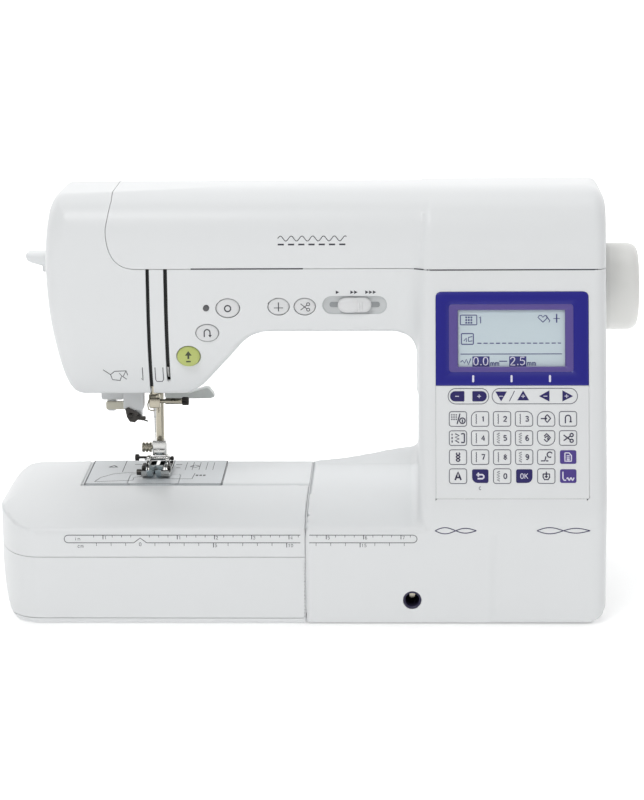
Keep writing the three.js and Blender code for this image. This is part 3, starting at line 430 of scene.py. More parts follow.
NICKEL = shader("nickel", srgb(186, 180, 164), rough=0.16, Metallic=1.0)
CREAM = shader("cream_plastic", srgb(226, 222, 204), rough=0.4)
SMOKY = shader("smoky_plastic", srgb(190, 204, 210), rough=0.12, Transmission_Weight=0.35)
RECESS = shader("speed_recess_grey", srgb(206, 209, 210), rough=0.4)
PLATE = shader("plate_grey", srgb(210, 214, 217), rough=0.35)
GREEN_INK = shader("ink_green_key", srgb(70, 78, 60), rough=0.5)
LAMP = shader("lamp_lens", srgb(96, 96, 98), rough=0.2)
LEVER = shader("lever_grey", srgb(206, 210, 208), rough=0.35)
NODE_MATERIALS = {"presser_bar": NICKEL, "needle_bar": NICKEL,
                  "needle_plate": PLATE, "bobbin_cover_plate": PLATE}


# ------------------------------------------------------------------ objects
def solid(name, verts, faces, slot, body, loops=None, instead=(), material=None):
    """A mesh object that rides a body, takes a material slot and may stand for CAD nodes."""
    mesh = bpy.data.meshes.new(name)
    polygons = [tuple(map(int, f)) for group in faces for f in group]
    mesh.from_pydata(place(verts).tolist(), [], polygons)
    mesh.polygons.foreach_set("use_smooth", np.ones(len(polygons), bool))
    if loops is not None:
        mesh.normals_split_custom_set(loops.tolist())
    thing = bpy.data.objects.new(name, mesh)
    bpy.context.scene.collection.objects.link(thing)
    mesh.materials.append(material or MATERIALS[slot])
    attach(thing, body)
    if instead:
        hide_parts(*instead)
    return thing


def box_field(x0, x1, y0, y1, z0, z1):
    """Negative inside an upright box."""
    low, high = np.array([x0, y0, z0], float), np.array([x1, y1, z1], float)
    return lambda p: np.max(np.maximum(low - p, p - high), 1)


def plane(axis, at):
    return lambda p: p[:, axis] - at


def oval(x, z, w, h):
    """Negative inside an ellipse on the front."""
    return lambda p: (np.hypot((p[:, 0] - x) / w, (p[:, 2] - z) / h) - 1) * min(w, h)


def slot_field(x0, x1, z0, z1):
    """Negative inside an upright or level slot with round ends on the front."""
    r = min(x1 - x0, z1 - z0) / 2
    return lambda p: np.hypot(np.maximum(np.maximum(x0 + r - p[:, 0], p[:, 0] - x1 + r), 0),
                              np.maximum(np.maximum(z0 + r - p[:, 2], p[:, 2] - z1 + r), 0)) - r


def front_only(value, depth=75):
    return lambda p: np.maximum(value(p), p[:, 1] - depth)


def panel_frame(p):
    """Points as (x, depth, up the slope) in the leaning control panel's own frame."""
    y, z = p[:, 1] - PANEL_FOOT[0], p[:, 2] - PANEL_FOOT[1]
    c, s = math.cos(LEAN), math.sin(LEAN)
    return np.stack([p[:, 0], y * c - z * s, y * s + z * c], 1)


def from_panel(x, depth, v):
    """The reverse of panel_frame for one point or arrays."""
    c, s = math.cos(LEAN), math.sin(LEAN)
    y, z = PANEL_FOOT[0] + depth * c + v * s, PANEL_FOOT[1] - depth * s + v * c
    return np.stack(np.broadcast_arrays(x, y, z), -1)


BUTTONS = {  # x, z, half width, half height, front y at rest, travel body
    "start_stop_button": (59, 211, 8, 6.5, 49.4, "start_stop"),
    "reverse_button": (44.5, 193.5, 7.8, 6, 50.4, "reverse"),
    "needle_position_button": (94, 212, 7.2, 5.7, 49.2, "needle_position"),
    "thread_cutter_button": (112, 212, 7.2, 5.7, 49.2, "thread_cutter"),
    "presser_foot_button": (31, 176.5, 8, 7.2, 53, "foot_lifter"),
}
LID = Field(XZ, outline((-4, SEAM), (330, SEAM), (330, 302), (-20.5, 302), (-20.5, 284), (-22, 277, -24, 266),
                        (-24, SEAM, -4, SEAM)), (-40, 225), (332, 304))
DOOR_ZONE = Field(XY, outline((-125, -15), (112, -15), (112, 2.1), (109.8, 3), (-60, 20), (-60, 100),
                              (-125, 100)), (-128, -18), (118, 112))


def lid_cut(p):
    return np.maximum(LID(p)[0], p[:, 1] - 150)


def door_cut(p):
    return np.max([DOOR_ZONE(p)[0], p[:, 2] - 47.6, 4.6 - p[:, 2]], 0)


def panel_cut(p):
    """The control panel's window, with round upper corners."""
    q = panel_frame(p)
    across, up = np.abs(q[:, 0] - 253.5) - 48.2, q[:, 2] - 137.2
    corner = np.hypot(np.maximum(across, 0), np.maximum(up, 0)) - 3.8
    return np.max([corner, across - 3.8, -q[:, 2], q[:, 1] - 14], 0)


SQUARE_HOLES = [
    (-40, 24, 76, 148, 130, 155.5), (1, 20, 140, 171, 130, 155.5),  # under the head
    (-90, -53, 127.5, 132.5, 160, 238),  # threader lever
    (306, 330, 157.6, 182.4, 21.6, 42.4), (306, 330, 159.6, 180.4, 55.6, 70.4),  # inlet and switch
    (306, 330, 143.6, 152.4, 25.6, 38.4),  # jack
    (100, 116, 86, 147, 33, 72), (100, 116, 82, 152, -10, 13),  # end of the base, under the flat bed
] + [(222, 292, 192, 210, 92 + 9 * i, 95 + 9 * i) for i in range(6)]  # cooling slots


def openings():
    """Everything cut out of the casing: slots, button holes, ports and vents."""
    fronts = [oval(x, z, w + 0.5, h + 0.5) for x, z, w, h, *_ in BUTTONS.values()]
    fronts += [slot_field(124, 168.5, 206.6, 219.4), slot_field(15.0, 17.7, 157, 250)]
    boxes = [box_field(*box) for box in SQUARE_HOLES]
    knee_lifter = front_only(lambda p: np.hypot(p[:, 0] - KNEE_LIFTER[0], p[:, 2] - KNEE_LIFTER[1]) - 6.4, 10)
    wheel_bore = lambda p: np.maximum(np.hypot(p[:, 1] - WHEEL[0], p[:, 2] - WHEEL[1]) - 7, 308 - p[:, 0])
    return ([front_only(hole) for hole in fronts] + boxes[:2] + [panel_cut, knee_lifter] + boxes[2:8]
            + [wheel_bore] + boxes[8:])


def covers():
    """The front, rear, face and top covers, cut from one surface so that their seams line up."""
    points, faces = skin(casing, (-80, -6, -2), (324, 206, 296), MESH_STEP)
    lid_gap = lambda p: lid_cut(p) - GAP
    holes = openings()
    cuts = [plane(2, 1.5), plane(0, 2.8), plane(0, 5.3), plane(1, 139.8), plane(1, 140.2), lid_cut, lid_gap]
    for value in cuts + holes:
        points, faces = split(casing, points, faces, value)
    middle = points[faces].mean(1)
    open_part = (np.min([hole(middle) for hole in holes], 0) < 0) | (middle[:, 2] < 1.5)
    rest = (lid_gap(middle) > 0) & ~open_part
    x, y = middle[:, 0], middle[:, 1]
    parts = {"top_cover": lid_cut(middle) < 0, "face_cover": rest & (x < 2.8),
             "front_cover": rest & (x > 5.3) & (y < 139.8), "rear_cover": rest & (x > 5.3) & (y > 140.2)}
    for name, chosen in parts.items():
        verts, blocks, loops = thick(casing, points, faces[chosen], SKIN)
        body = "lid" if name == "top_cover" else "casing"
        solid(name + "_skin", verts, blocks, "casing", body, loops, (name,))


def bed_covers():
    """The slide-off flat bed and its accessory door."""
    points, faces = skin(flat_bed, (-110, -4, -1), (116, 156, 82), MESH_STEP)
    door_gap = lambda p: door_cut(p) - GAP
    for value in (door_cut, door_gap):
        points, faces = split(flat_bed, points, faces, value)
    middle = points[faces].mean(1)
    for name, body, chosen in (("flat_bed_attachment", "flat_bed", door_gap(middle) > 0),
                               ("accessory_door", "door", door_cut(middle) < 0)):
        verts, blocks, loops = thick(flat_bed, points, faces[chosen], SKIN)
        solid(name + "_skin", verts, blocks, "casing", body, loops, (name,))


covers()
bed_covers()


# ------------------------------------------------------------------ shapes for the smaller pieces
def round_rect(x0, x1, y0, y1, radius, count=5):
    """Outline of a rectangle; radius is one number or four, from lower left anticlockwise."""
    radii = (radius,) * 4 if np.isscalar(radius) else radius
    points = []
    corners = [(x0, y0, 1, 1), (x1, y0, -1, 1), (x1, y1, -1, -1), (x0, y1, 1, -1)]
    for k, (cx, cy, sx, sy) in enumerate(corners):
        r = max(radii[k], 0.02)
        for a in np.linspace(math.pi + k * math.pi / 2, 1.5 * math.pi + k * math.pi / 2, count):
            points.append((cx + sx * r + r * math.cos(a), cy + sy * r + r * math.sin(a)))
    return np.array(points)


def ellipse(x, y, w, h, count=40):
    a = np.linspace(0, 2 * math.pi, count, endpoint=False)
    return np.stack([x + w * np.cos(a), y + h * np.sin(a)], 1)


def arc(x, y, r, start, stop, count=12):
    a = np.radians(np.linspace(start, stop, count))
    return np.stack([x + r * np.cos(a), y + r * np.sin(a)], 1)


def loft(rings, closed=False):
    """Vertices and faces through rings of equal length, capped unless closed on itself."""
    k, m = len(rings[0]), len(rings)
    faces = []
    for a in range(m if closed else m - 1):
        b = (a + 1) % m
        faces += [(a * k + i, a * k + (i + 1) % k, b * k + (i + 1) % k, b * k + i) for i in range(k)]
    if not closed:
        faces += [tuple(range(k))[::-1], tuple(range((m - 1) * k, m * k))]
    return np.concatenate(rings), faces


def gather(*parts):
    """Several (vertices, faces) as one."""
    verts, faces, base = [], [], 0
    for v, f in parts:
        verts.append(v)
        faces += [tuple(i + base for i in face) for face in f]
        base += len(v)
    return np.concatenate(verts), faces


ORDER = {"x": (2, 0, 1), "y": (0, 2, 1), "z": (0, 1, 2)}


def lift(axis, flat, at):
    """Flat points set at a place along an axis: x takes (y, z), y takes (x, z) and z takes (x, y)."""
    return np.column_stack([flat, np.full(len(flat), at)])[:, ORDER[axis]]


def slab(axis, flat, *places):
    """One outline drawn out through places along an axis."""
    return loft([lift(axis, flat, at) for at in places])


def block(x0, x1, y0, y1, z0, z1, edge=0.6, corner=1.0, axis="y"):
    """A slab with rounded corners across the axis and rounded edges along it."""
    a0, a1, b0, b1, low, high = {"x": (y0, y1, z0, z1, x0, x1), "y": (x0, x1, z0, z1, y0, y1),
                                 "z": (x0, x1, y0, y1, z0, z1)}[axis]
    bends = [(edge * (1 - math.sin(a)), edge * (1 - math.cos(a))) for a in np.linspace(0, math.pi / 2, 4)]
    shape = lambda i: round_rect(a0 + i, a1 - i, b0 + i, b1 - i, max(corner - i, 0.05))
    rings = [lift(axis, shape(inset), low + rise) for inset, rise in bends]
    return loft(rings + [lift(axis, shape(inset), high - rise) for inset, rise in bends[::-1]])


def turned(axis, a, b, profile, count=40, ribs=0, depth=0.0):
    """(radius, place) pairs turned about an axis; ribs notch the pairs that carry a third value."""
    angles = np.linspace(0, 2 * math.pi, count, endpoint=False)
    wave = 1 - depth * (0.5 + 0.5 * np.cos(angles * ribs))
    rings = []
    for r, h, *ribbed in profile:
        r = r * wave if ribbed else r
        rings.append(lift(axis, np.stack([a + r * np.cos(angles), b + r * np.sin(angles)], 1), h))
    return loft(rings)


def tube(path, radius, sides=10):
    """A round wire along a path."""
    path = np.asarray(path, float)
    ways = unit(np.gradient(path, axis=0))
    side = np.cross(ways[0], (0.3, 0.5, 0.8))
    angles = np.linspace(0, 2 * math.pi, sides, endpoint=False)[:, None]
    rings = []
    for point, way in zip(path, ways):
        side = side - way * np.dot(side, way)
        side /= np.linalg.norm(side)
        rings.append(point + radius * (np.cos(angles) * side + np.sin(angles) * np.cross(way, side)))
    return loft(rings)


def made(name, part, slot, body, *instead, material=None):
    """One piece from (vertices, faces), with sharp edges where faces meet at more than 35 degrees."""
    verts, faces = part
    thing = solid(name, verts, [faces], slot, body, None, instead, material)
    sheet = bmesh.new()
    sheet.from_mesh(thing.data)
    bmesh.ops.recalc_face_normals(sheet, faces=sheet.faces)
    for edge in sheet.edges:
        if len(edge.link_faces) == 2:
            edge.smooth = edge.calc_face_angle() < math.radians(35)
    sheet.to_mesh(thing.data)
    sheet.free()


# ------------------------------------------------------------------ printed marks
INK = 0.09  # how far printed marks stand above their surface
SUNK = -0.05  # how far they reach into it


def front_surface(shape, depth=0.0):
    """Maps (x, z) onto the front of a cover, or to a depth behind it, lifted towards the viewer."""
    def mapped(flat, up):
        near, far = np.full(len(flat), -12.0), np.full(len(flat), 90.0)
        for _ in range(22):
            half = (near + far) / 2
            outside = shape(np.stack([flat[:, 0], half, flat[:, 1]], 1))[0] > 0
            near, far = np.where(outside, half, near), np.where(outside, far, half)
        return np.stack([flat[:, 0], near + depth - up, flat[:, 1]], 1)
    return mapped


def panel_surface(depth):
    return lambda flat, up: from_panel(flat[:, 0], depth - up, flat[:, 1])


ARM_FACE = front_surface(casing)
BED_FACE = front_surface(flat_bed)


def stroke(mapped, path, width):
    """A thin closed ribbon along a path on a surface, with a point every 3 mm or less."""
    path = np.asarray(path, float)
    points = [path[:1]]
    for a, b in zip(path, path[1:]):
        count = max(1, math.ceil(np.linalg.norm(b - a) / 3.0))
        points.append(a + (b - a) * (np.arange(1, count + 1) / count)[:, None])
    path = np.concatenate(points)
    way = unit(np.gradient(path, axis=0))
    side = np.stack([-way[:, 1], way[:, 0]], 1) * width / 2
    left, right = path + side, path - side
    edges = [mapped(e, up) for e, up in ((left, INK), (right, INK), (right, SUNK), (left, SUNK))]
    return loft([np.array(q) for q in zip(*edges)])


def strokes(mapped, width, *paths):
    return [stroke(mapped, path, width) for path in paths]


def spot(mapped, shape):
    """A thin filled patch on a surface."""
    return loft([mapped(shape, SUNK), mapped(shape, INK)])


def ring(mapped, x, y, w, h, width, count=32):
    a = np.linspace(0, 2 * math.pi, count + 1)
    return stroke(mapped, np.stack([x + w * np.cos(a), y + h * np.sin(a)], 1), width)


def loop(shape):
    return np.concatenate([shape, shape[:1]])


def zigzag(x, y0, y1, half, turns):
    return [(x + half * (-1) ** i, y0 + (y1 - y0) * i / turns) for i in range(turns + 1)]


GLYPHS = {letter: [pts(path) for path in paths.split("/")] for letter, paths in {
    "0": ".5 1.6 .15 1.4 .03 .8 .15 .2 .5 0 .85 .2 .97 .8 .85 1.4 .5 1.6",
    "1": ".2 1.25 .55 1.6 .55 0",
    "2": ".05 1.2 .2 1.5 .5 1.6 .85 1.45 .92 1.15 .75 .8 .05 0 1 0",
    "3": ".05 1.4 .4 1.6 .8 1.5 .9 1.15 .4 .86 .95 .6 .85 .15 .4 0 .02 .2",
    "4": ".75 0 .75 1.6 0 .5 1 .5",
    "5": ".9 1.6 .15 1.6 .1 .9 .5 1 .9 .8 .92 .3 .45 0 .05 .2",
    "6": ".85 1.5 .5 1.6 .12 1.2 .05 .45 .3 .02 .75 .05 .95 .5 .6 .95 .1 .6",
    "7": "0 1.6 1 1.6 .4 0",
    "8": ".5 .88 .1 1.2 .5 1.6 .9 1.2 .5 .88 .04 .45 .5 0 .96 .45 .5 .88",
    "9": ".15 .1 .5 0 .88 .4 .95 1.15 .7 1.58 .25 1.55 .05 1.1 .4 .65 .9 1",
    "K": "0 0 0 1.6/.9 1.6 0 .65/.3 .95 .95 0",
    "C": ".95 1.3 .5 1.6 .08 1.2 .08 .4 .5 0 .95 .3",
    "m": "0 0 0 1/0 .8 .3 1 .5 .8 .5 0/.5 .8 .8 1 1 .8 1 0",
    "c": ".9 .8 .5 1 .1 .7 .1 .3 .5 0 .9 .2",
    "i": ".5 0 .5 1/.5 1.3 .5 1.45",
    "n": ".1 0 .1 1/.1 .7 .5 1 .9 .7 .9 0",
}.items()}


def text(mapped, letters, x, y, height, width):
    """Plain stroked digits and letters with their lower left corner at (x, y)."""
    size = height / 1.6
    parts = []
    for letter in letters:
        if letter == ".":
            parts.append(spot(mapped, ellipse(x + width * 0.6, y + width * 0.5, width * 0.7, width * 0.7, 8)))
            x += size * 0.55
        else:
            parts += strokes(mapped, width, *((x, y) + path * size for path in GLYPHS[letter]))
            x += size * 1.4
    return parts


def printed(name, parts, ink, body, slot="black"):
    made(name, gather(*parts), slot, body, material=ink)


def ruler():
    """The measuring scale along the bed's front, with its zero under the needle."""
    high, low, middle = 63.4, 58.0, 60.7  # the inch line, the centimetre line and between them
    left = [stroke(BED_FACE, np.concatenate([
        [(109.3, high)], [(-49, high)], arc(-49.3, middle, 2.7, 90, 270, 10),
        [(-8, low), (-4.4, low), (0, low + 3.4), (4.4, low), (109.3, low)]]), 0.42)]
    right = strokes(ARM_FACE, 0.42, [(115.4, high), (186, high)], [(115.4, low), (186, low)],
                    arc(186, middle, 2.7, -90, 90, 10))
    for spacing, first, last, group, label, z, long, short, drop in (
            (25.4 / 4, -5, 30, 4, 4, high, 2.9, 1.6, 2.9), (10.0, -3, 19, 5, 1, low, 3.2, 2.2, 3.0)):
        for k in range(first, last):
            x, whole = k * spacing, k % group == 0
            if k and not 109 < x < 116:  # no tick at zero or over the joint
                target, face = (left, BED_FACE) if x < 112 else (right, ARM_FACE)
                tick, width = (long, 0.5) if whole else (short, 0.3)
                target.append(stroke(face, [(x, z), (x, z - tick)], width))
                if whole:
                    target += text(face, str(abs(k) // label), x + 1, z - drop, 2.2, 0.28)
    left += text(BED_FACE, "0", -0.8, low - 2.2, 2.4, 0.3)
    left += text(BED_FACE, "in", -45, 59.7, 2.6, 0.26) + text(BED_FACE, "cm", -43, 54.6, 2.6, 0.26)
    printed("ruler_on_flat_bed", left, INK_GREY, "flat_bed")
    printed("ruler_on_base", right, INK_GREY, "casing")


def arm_marks():
    """Stitch marks on the lid, the speed scale and lamp dot, a painted shadow line under the lid seam,
    threading pictograms and plain waves.
    """
    stitches = strokes(ARM_FACE, 1.1, *([(x, 255.2), (x + 4.2, 255.2)] for x in range(94, 143, 7)))
    wave = [(94 + t * 47, 259.3 + 1.7 * math.sin(t * 40)) for t in np.linspace(0, 1, 80)]
    printed("lid_stitches", stitches + strokes(ARM_FACE, 0.5, wave), INK_GREY, "lid")
    places = [x + (j - k / 2) * 2.6 for k, x in enumerate((134.4, 145.7, 157.2)) for j in range(k + 1)]
    marks = [spot(ARM_FACE, np.array([(x - 1, 220.8), (x + 1.3, 222), (x - 1, 223.2)])) for x in places]
    printed("arm_marks", marks + [spot(ARM_FACE, ellipse(44.2, 211.4, 2.1, 2.1, 24))], INK_GREY, "casing")
    # painted shadow: dark grey lines just under the lid seam stand for the shade in the seam
    z = SEAM - 0.1
    seam_shadow = strokes(ARM_FACE, 0.9, [(34, z), (111, z)]) + strokes(ARM_FACE, 0.8, [(187, z), (312, z)])
    printed("lid_seam_painted_shadow", seam_shadow, INK_GREY, "casing")
    t = np.linspace(0, 1, 40)
    waves = [np.stack([x0 + (x1 - x0) * t, 66.5 + 2.4 * np.sin(t * 2 * math.pi + phase) * (1 - 0.4 * t)], 1)
             for x0, x1 in ((201, 229), (270, 306)) for phase in (0, math.pi)]
    printed("column_waves", strokes(ARM_FACE, 0.6, *waves), INK_NAVY, "casing")
    small = lambda numbers: [(-29 + (x + 26) * 0.76, 158 + (z - 157.2) * 0.85) for x, z in pts(numbers)]
    thread = strokes(
        ARM_FACE, 0.5, pts("7.2 168 7.2 158.6 8 157.2 11.8 157.2 12.7 158.6 12.7 168"),
        pts("-1.6 168 -1.6 158 -2.6 159.6"),
        small("-26 167 -19.5 162.6 -18 158 -11 157.2 -9.4 161.5 -5 158.4"),
        small("-19.5 162.6 -15.5 165.6 -5 166 -3.8 162"))
    thread += strokes(ARM_FACE, 0.4, small("-9.4 161.5 -11.4 164"), small("-5 166 -8 161"))
    printed("threading_marks", thread, INK_GREY, "casing")


def button_marks(x, z, on):
    """The sign for each push button, drawn round (x, z)."""
    at = lambda numbers: pts(numbers) + (x, z)
    hook = np.concatenate([at("-2 -2.6"), arc(x, z + 0.6, 2, 180, 0), at("2 -1.4")])
    return {
        "start_stop_button": [ring(on, x, z, 2.1, 2.1, 0.9)],
        "reverse_button": [stroke(on, hook, 0.8), spot(on, at("0.8 -1.2 3.2 -1.2 2 -3"))],
        "needle_position_button": [stroke(on, at("0 3.2 0 -3"), 0.7),
                                   stroke(on, at("-3.2 -0.6 3.2 -0.6"), 0.5)],
        "thread_cutter_button": strokes(on, 0.5, at("-2.8 2.2 1.4 -1.2"), at("-2.8 -2.2 1.4 1.2")) + [
            ring(on, x + 2.4, z + side, 1.1, 1.0, 0.5, 14) for side in (1.9, -1.9)],
        "presser_foot_button": [spot(on, at("-2.4 0.8 2.4 0.8 0 4")), stroke(on, at("0 1 0 -1.6"), 1.3),
                                stroke(on, at("-1.6 -3.4 1.6 -3.4"), 1.0)]}


def slot_painted_shade():
    """Painted shade: dark strips deep inside the two thread slots, standing for the shade there, and the chrome
    guide at the foot of the right one.
    """
    # dark strips 5 mm behind the front paint the shade inside both thread slots
    strips = strokes(front_surface(casing, 5.0), 5, [(4, 152), (4, 240)], [(16.3, 155), (16.3, 246)])
    made("slot_painted_shade", gather(*strips), "black", "casing")
    guide = tube([(16.3, 60.6, 168), (16.3, 62.2, 164), (16.3, 64, 160.5)], 0.75)
    made("slot_guide", guide, "chrome", "casing")


def buttons():
    """Domed push buttons with their stems and signs, and the status lamp."""
    for name, (x, z, w, h, y, body) in BUTTONS.items():
        bends = [(w - e, h - e, y + d) for e, d in pts("0 16.6 0 1.6 .25 .8 .8 .25 1.6 0 3.4 -.25")]
        cap = loft([lift("y", ellipse(x, z, a, b), at) for a, b, at in bends])
        stem = block(x - 4, x + 4, y + 16.6, 73, z - 3, z + 3)
        slot, ink = ("green", GREEN_INK) if name == "presser_foot_button" else ("key", INK_GREY)
        made(name + "_cap", gather(cap, stem), slot, body, name)
        face = lambda flat, up, at=y: lift("y", flat, at - 0.22 - up)
        printed(name + "_sign", button_marks(x, z, face)[name], ink, body)
    lens = turned("y", 44, 211, pts("2.1 50.6 2.1 49.8 1.7 49.4 .8 49.25"), 24)
    made("status_lamp_lens", lens, "grey", "casing", "status_lamp", material=LAMP)


def slider():
    """Grey recess of the speed control and its two-lobed knob."""
    outer = round_rect(122.5, 170, 205.1, 220.9, 7.8)
    inner = lambda i: round_rect(124.2 + i, 168.3 - i, 206.8 + i, 219.2 - i, 6.1 - i)
    tray = loft([lift("y", shape, at) for shape, at in (
        (outer, 60), (outer, 50.7), (inner(0), 50.5), (inner(0.5), 51.6), (inner(2), 52.4))])
    made("speed_recess", tray, "grey", "casing", material=RECESS)
    made("speed_track", block(129, 163.5, 52.0, 53.5, 211.2, 214.8, 0.2, 1.5), "grey", "casing")
    x = 146.25
    a = np.linspace(0, 2 * math.pi, 56, endpoint=False)
    waist = 1 - 0.12 * np.abs(np.sin(a)) ** 6
    lobe = lambda middle, half, i: np.stack([
        middle + (half - i) * np.cos(a), 213 + (5.9 - i) * np.sin(a) * waist], 1)
    knob = [loft([lift("y", lobe(middle, half, i), y + back)
                  for i, y in pts("0 52.4 0 49 .5 47.9 1.6 47.1 3.2 46.8")])
            for middle, half, back in ((x - 3.4, 8.2, 0), (x + 3.8, 7.8, 0.9))]
    knob.append(block(x - 3, x + 3, 55.5, 70, 211, 215))
    knob += [block(x + 2.6 + d, x + 3.4 + d, 47.0, 48.4, 209.4, 216.6, 0.2, 0.38) for d in (0, 2)]
    made("speed_knob_cap", gather(*knob), "key", "speed_knob", "speed_slider_knob")


# ------------------------------------------------------------------ control panel
def panel_loft(pairs, closed=False):
    """A loft of (outline, depth) pairs in the panel's own frame."""
    return loft([from_panel(flat[:, 0], depth, flat[:, 1]) for flat, depth in pairs], closed)


def display():
    """Blue surround with its purple inner frame, the screen and what the screen shows."""
    outer = lambda i: round_rect(201.65 + i, 305.35 - i, 77.0 + i, 140.85 - i, (0.6, 0.6, 3.6, 3.6), 6)
    inner = lambda i: round_rect(210.6 + i, 295 - i, 86.2 + i, 132.2 - i, 2.2, 6)
    window = lambda i: round_rect(216.8 + i, 289.4 - i, 90 + i, 128.4 - i, 0.5, 6)
    made("display_surround", panel_loft((
        (outer(0), 2.2), (outer(0), -0.1), (outer(0.25), -0.45), (outer(0.7), -0.6), (inner(-0.4), -0.6),
        (inner(0), -0.3), (inner(0), 2.2)), True), "bezel", "casing", "display_bezel")
    made("display_frame", panel_loft((
        (inner(0.05), 2.2), (inner(0.05), -0.25), (inner(0.35), -0.35), (window(-0.8), -0.2),
        (window(-0.1), 0.5), (window(0), 2.2)), True), "bezel", "casing", material=LILAC)
    glass = round_rect(214, 292, 87, 131, 1)
    made("display_screen", panel_loft([(glass, d) for d in (7, 2.7, 2.6)]), "screen", "casing", "lcd_module")
    on, above = panel_surface(2.55), panel_surface(2.46)
    grid = lambda x, y: (216.8 + (x - 458.5) * 0.675, 128.4 - (y - 309.5) * 0.662)  # the screen's layout grid
    at = lambda numbers: [grid(*p) for p in pts(numbers)]
    box = lambda x0, y0, x1, y1, r=0.6: round_rect(
        grid(x0, 0)[0], grid(x1, 0)[0], grid(0, y1)[1], grid(0, y0)[1], r)
    marks = strokes(on, 0.55, loop(box(461, 314.5, 477.5, 324.5)), at("464.5 341 467 338 467 342"),
                    at("473 336.5 469 337.5 469 341.5 473 341"), at("547 315 551 320.5 550 322"),
                    at("544 322 539 317 540.5 315 542.5 315 544 317 546 315 548 315.5 548 318 544 322"),
                    at("461 363 463 361 465 364 467 360 469 365.5 471.5 359"))
    marks += [spot(on, box(466 + 2.6 * i, 316 + 2.7 * j, 467.7 + 2.6 * i, 317.7 + 2.7 * j, 0.1))
              for i in range(3) for j in range(3)]
    (x, last), y = (grid(x, 0)[0] for x in (478, 562)), grid(0, 343.5)[1]
    dashes = []
    while x < last:
        dashes.append([(x, y), (min(x + 2.8, last), y)])
        x += 2.8 + 1.4
    marks += strokes(on, 0.6, loop(box(462, 333.5, 474, 344.5)), at("500 362 508 362"), *dashes)
    marks += strokes(on, 0.8, at("557.8 313.5 557.8 322.5")) + strokes(on, 0.4, at("554.5 318.3 561 318.3"))
    marks += strokes(on, 0.5, at("461 354.6 563 354.6")) + text(on, "1", *grid(479, 323), 4.6, 0.6)
    marks += [spot(on, box(x, 357, x + 17.2, 367.5, 0.2)) for x in (473, 510)]
    marks += text(on, "mm", *grid(491.5, 366.6), 3.6, 0.6) + text(on, "mm", *grid(528.5, 366.6), 3.6, 0.6)
    printed("display_marks", marks, LCD_DARK, "casing", "screen")
    values = text(above, "0.0", *grid(474, 366), 5.4, 0.7) + text(above, "2.5", *grid(511, 366), 5.4, 0.7)
    printed("display_values", values, INK_LIGHT, "casing", "screen")
    bars = [spot(panel_surface(-0.6), round_rect(x - 0.7, x + 0.7, 79.2, 84, 0.6)) for x in (227, 253, 279)]
    printed("surround_marks", bars, INK_LIGHT, "casing", "bezel")


COLUMNS = (216.6, 231.6, 246.5, 261.4, 276.3, 291.1)
ROWS = (54.3, 41.3, 28.4, 15.5)
CORNERS_OF = {(0, 1): (1.6, 1.6, 1.6, 4), (0, 3): (1.6, 1.6, 4.2, 1.6), (0, 4): (1.6, 1.6, 4.6, 4.6),
              (1, 4): (4.6, 4.6, 1.6, 1.6), (3, 1): (4.2, 1.6, 1.6, 1.6), (3, 3): (1.6, 4.2, 1.6, 1.6)}
COLOURED = {(3, 1): NAVY, (3, 3): NAVY, (2, 5): PURPLE, (3, 5): PURPLE}
DIGITS = dict(zip([(r, c) for r in (0, 1, 2) for c in (1, 2, 3)] + [(3, 2)], "1234567890"))
DRAWINGS = {  # strokes round the key's middle, for (row, column)
    (0, 0): "1.4 3.6 -.6 -3.4/3 -.3 3 -2.4",
    (0, 4): "-.6 1.4 .8 2.8 3 .3 .8 -2.4 -.6 -1/-3.6 .2 .4 .2/-.8 1.2 .4 .2 -.8 -.8",
    (0, 5): "1 -2 2.6 -2",
    (1, 0): "-4 -3 -4 -1.6/-4 -.6 -4 .8/-4 1.8 -4 3",
    (1, 4): "-1.4 1.2 .4 3 2.8 .2 .4 -2.6 -1.4 -.8/-1 .2 .8 1.4 1.4 .2 .8 -1",
    (1, 5): "-3 2 1.4 -1.2/-3 -1.8 1.4 1.2",
    (2, 4): "-3.6 -2.6 -1 -2.6 -.2 .4/-.2 -2.6 1.4 -2.6",
    (2, 5): "-2.2 2.8 -2.2 -2.8 2.2 -2.8 2.2 1 .6 2.8 -2.2 2.8/-1 .8 1 .8/-1 -.6 1 -.6/-1 -1.8 1 -1.8",
    (3, 0): "-2 -2.7 0 2.8 2 -2.7/-1.2 -.9 1.2 -.9",
    (3, 1): "-2.2 1 1.6 1 2.4 .2 2.4 -1 1.6 -1.7 -1.8 -1.7/-.9 2.2 -2.3 1 -.9 -.2",
    (3, 4): "-2.2 1.4 -2.2 -.8 -1.2 -2.4 1.2 -2.4 2.2 -.8 2.2 1.4 -2.2 1.4/0 3 0 -1/-.9 -.1 0 -1 .9 -.1",
    (3, 5): "-3.6 3 -3.6 -1.6 -2.8 -2.8 -1.4 -2.8",
}


def computed_signs(row, column):
    """The parts of a key's sign that are round or repeated, about the key's middle."""
    t = np.linspace(0, 1, 24)
    return {
        (0, 0): [arc(3, -1.2, 1.9, 0, 360)] + [np.array([(x, y), (x + 0.9, y)])
                                               for x in (-4.6, -3.1, -1.6) for y in (2.8, 1.3, -0.2)],
        (0, 5): [np.concatenate([[(-1.8, -3)], arc(0, 0.6, 1.8, 180, 0), [(1.8, -2)]])],
        (1, 0): [np.array(zigzag(-0.6, -3, 3, 1.3, 5)), round_rect(2.3, 4.3, -3, 3, 0.5)],
        (1, 5): [arc(2.4, 2, 1.1, 0, 360), arc(2.4, -1.9, 1.1, 0, 360)],
        (2, 0): [np.stack([side * np.sin(t * 9), -3 + 6 * t], 1) for side in (1.2, -1.2)],
        (2, 4): [arc(2.4, 1.6, 1.8, 30, 300)],
        (3, 5): [np.stack([-1 + 5 * t, -2 + 0.9 * np.sin(t * 14)], 1)],
    }.get((row, column), [])


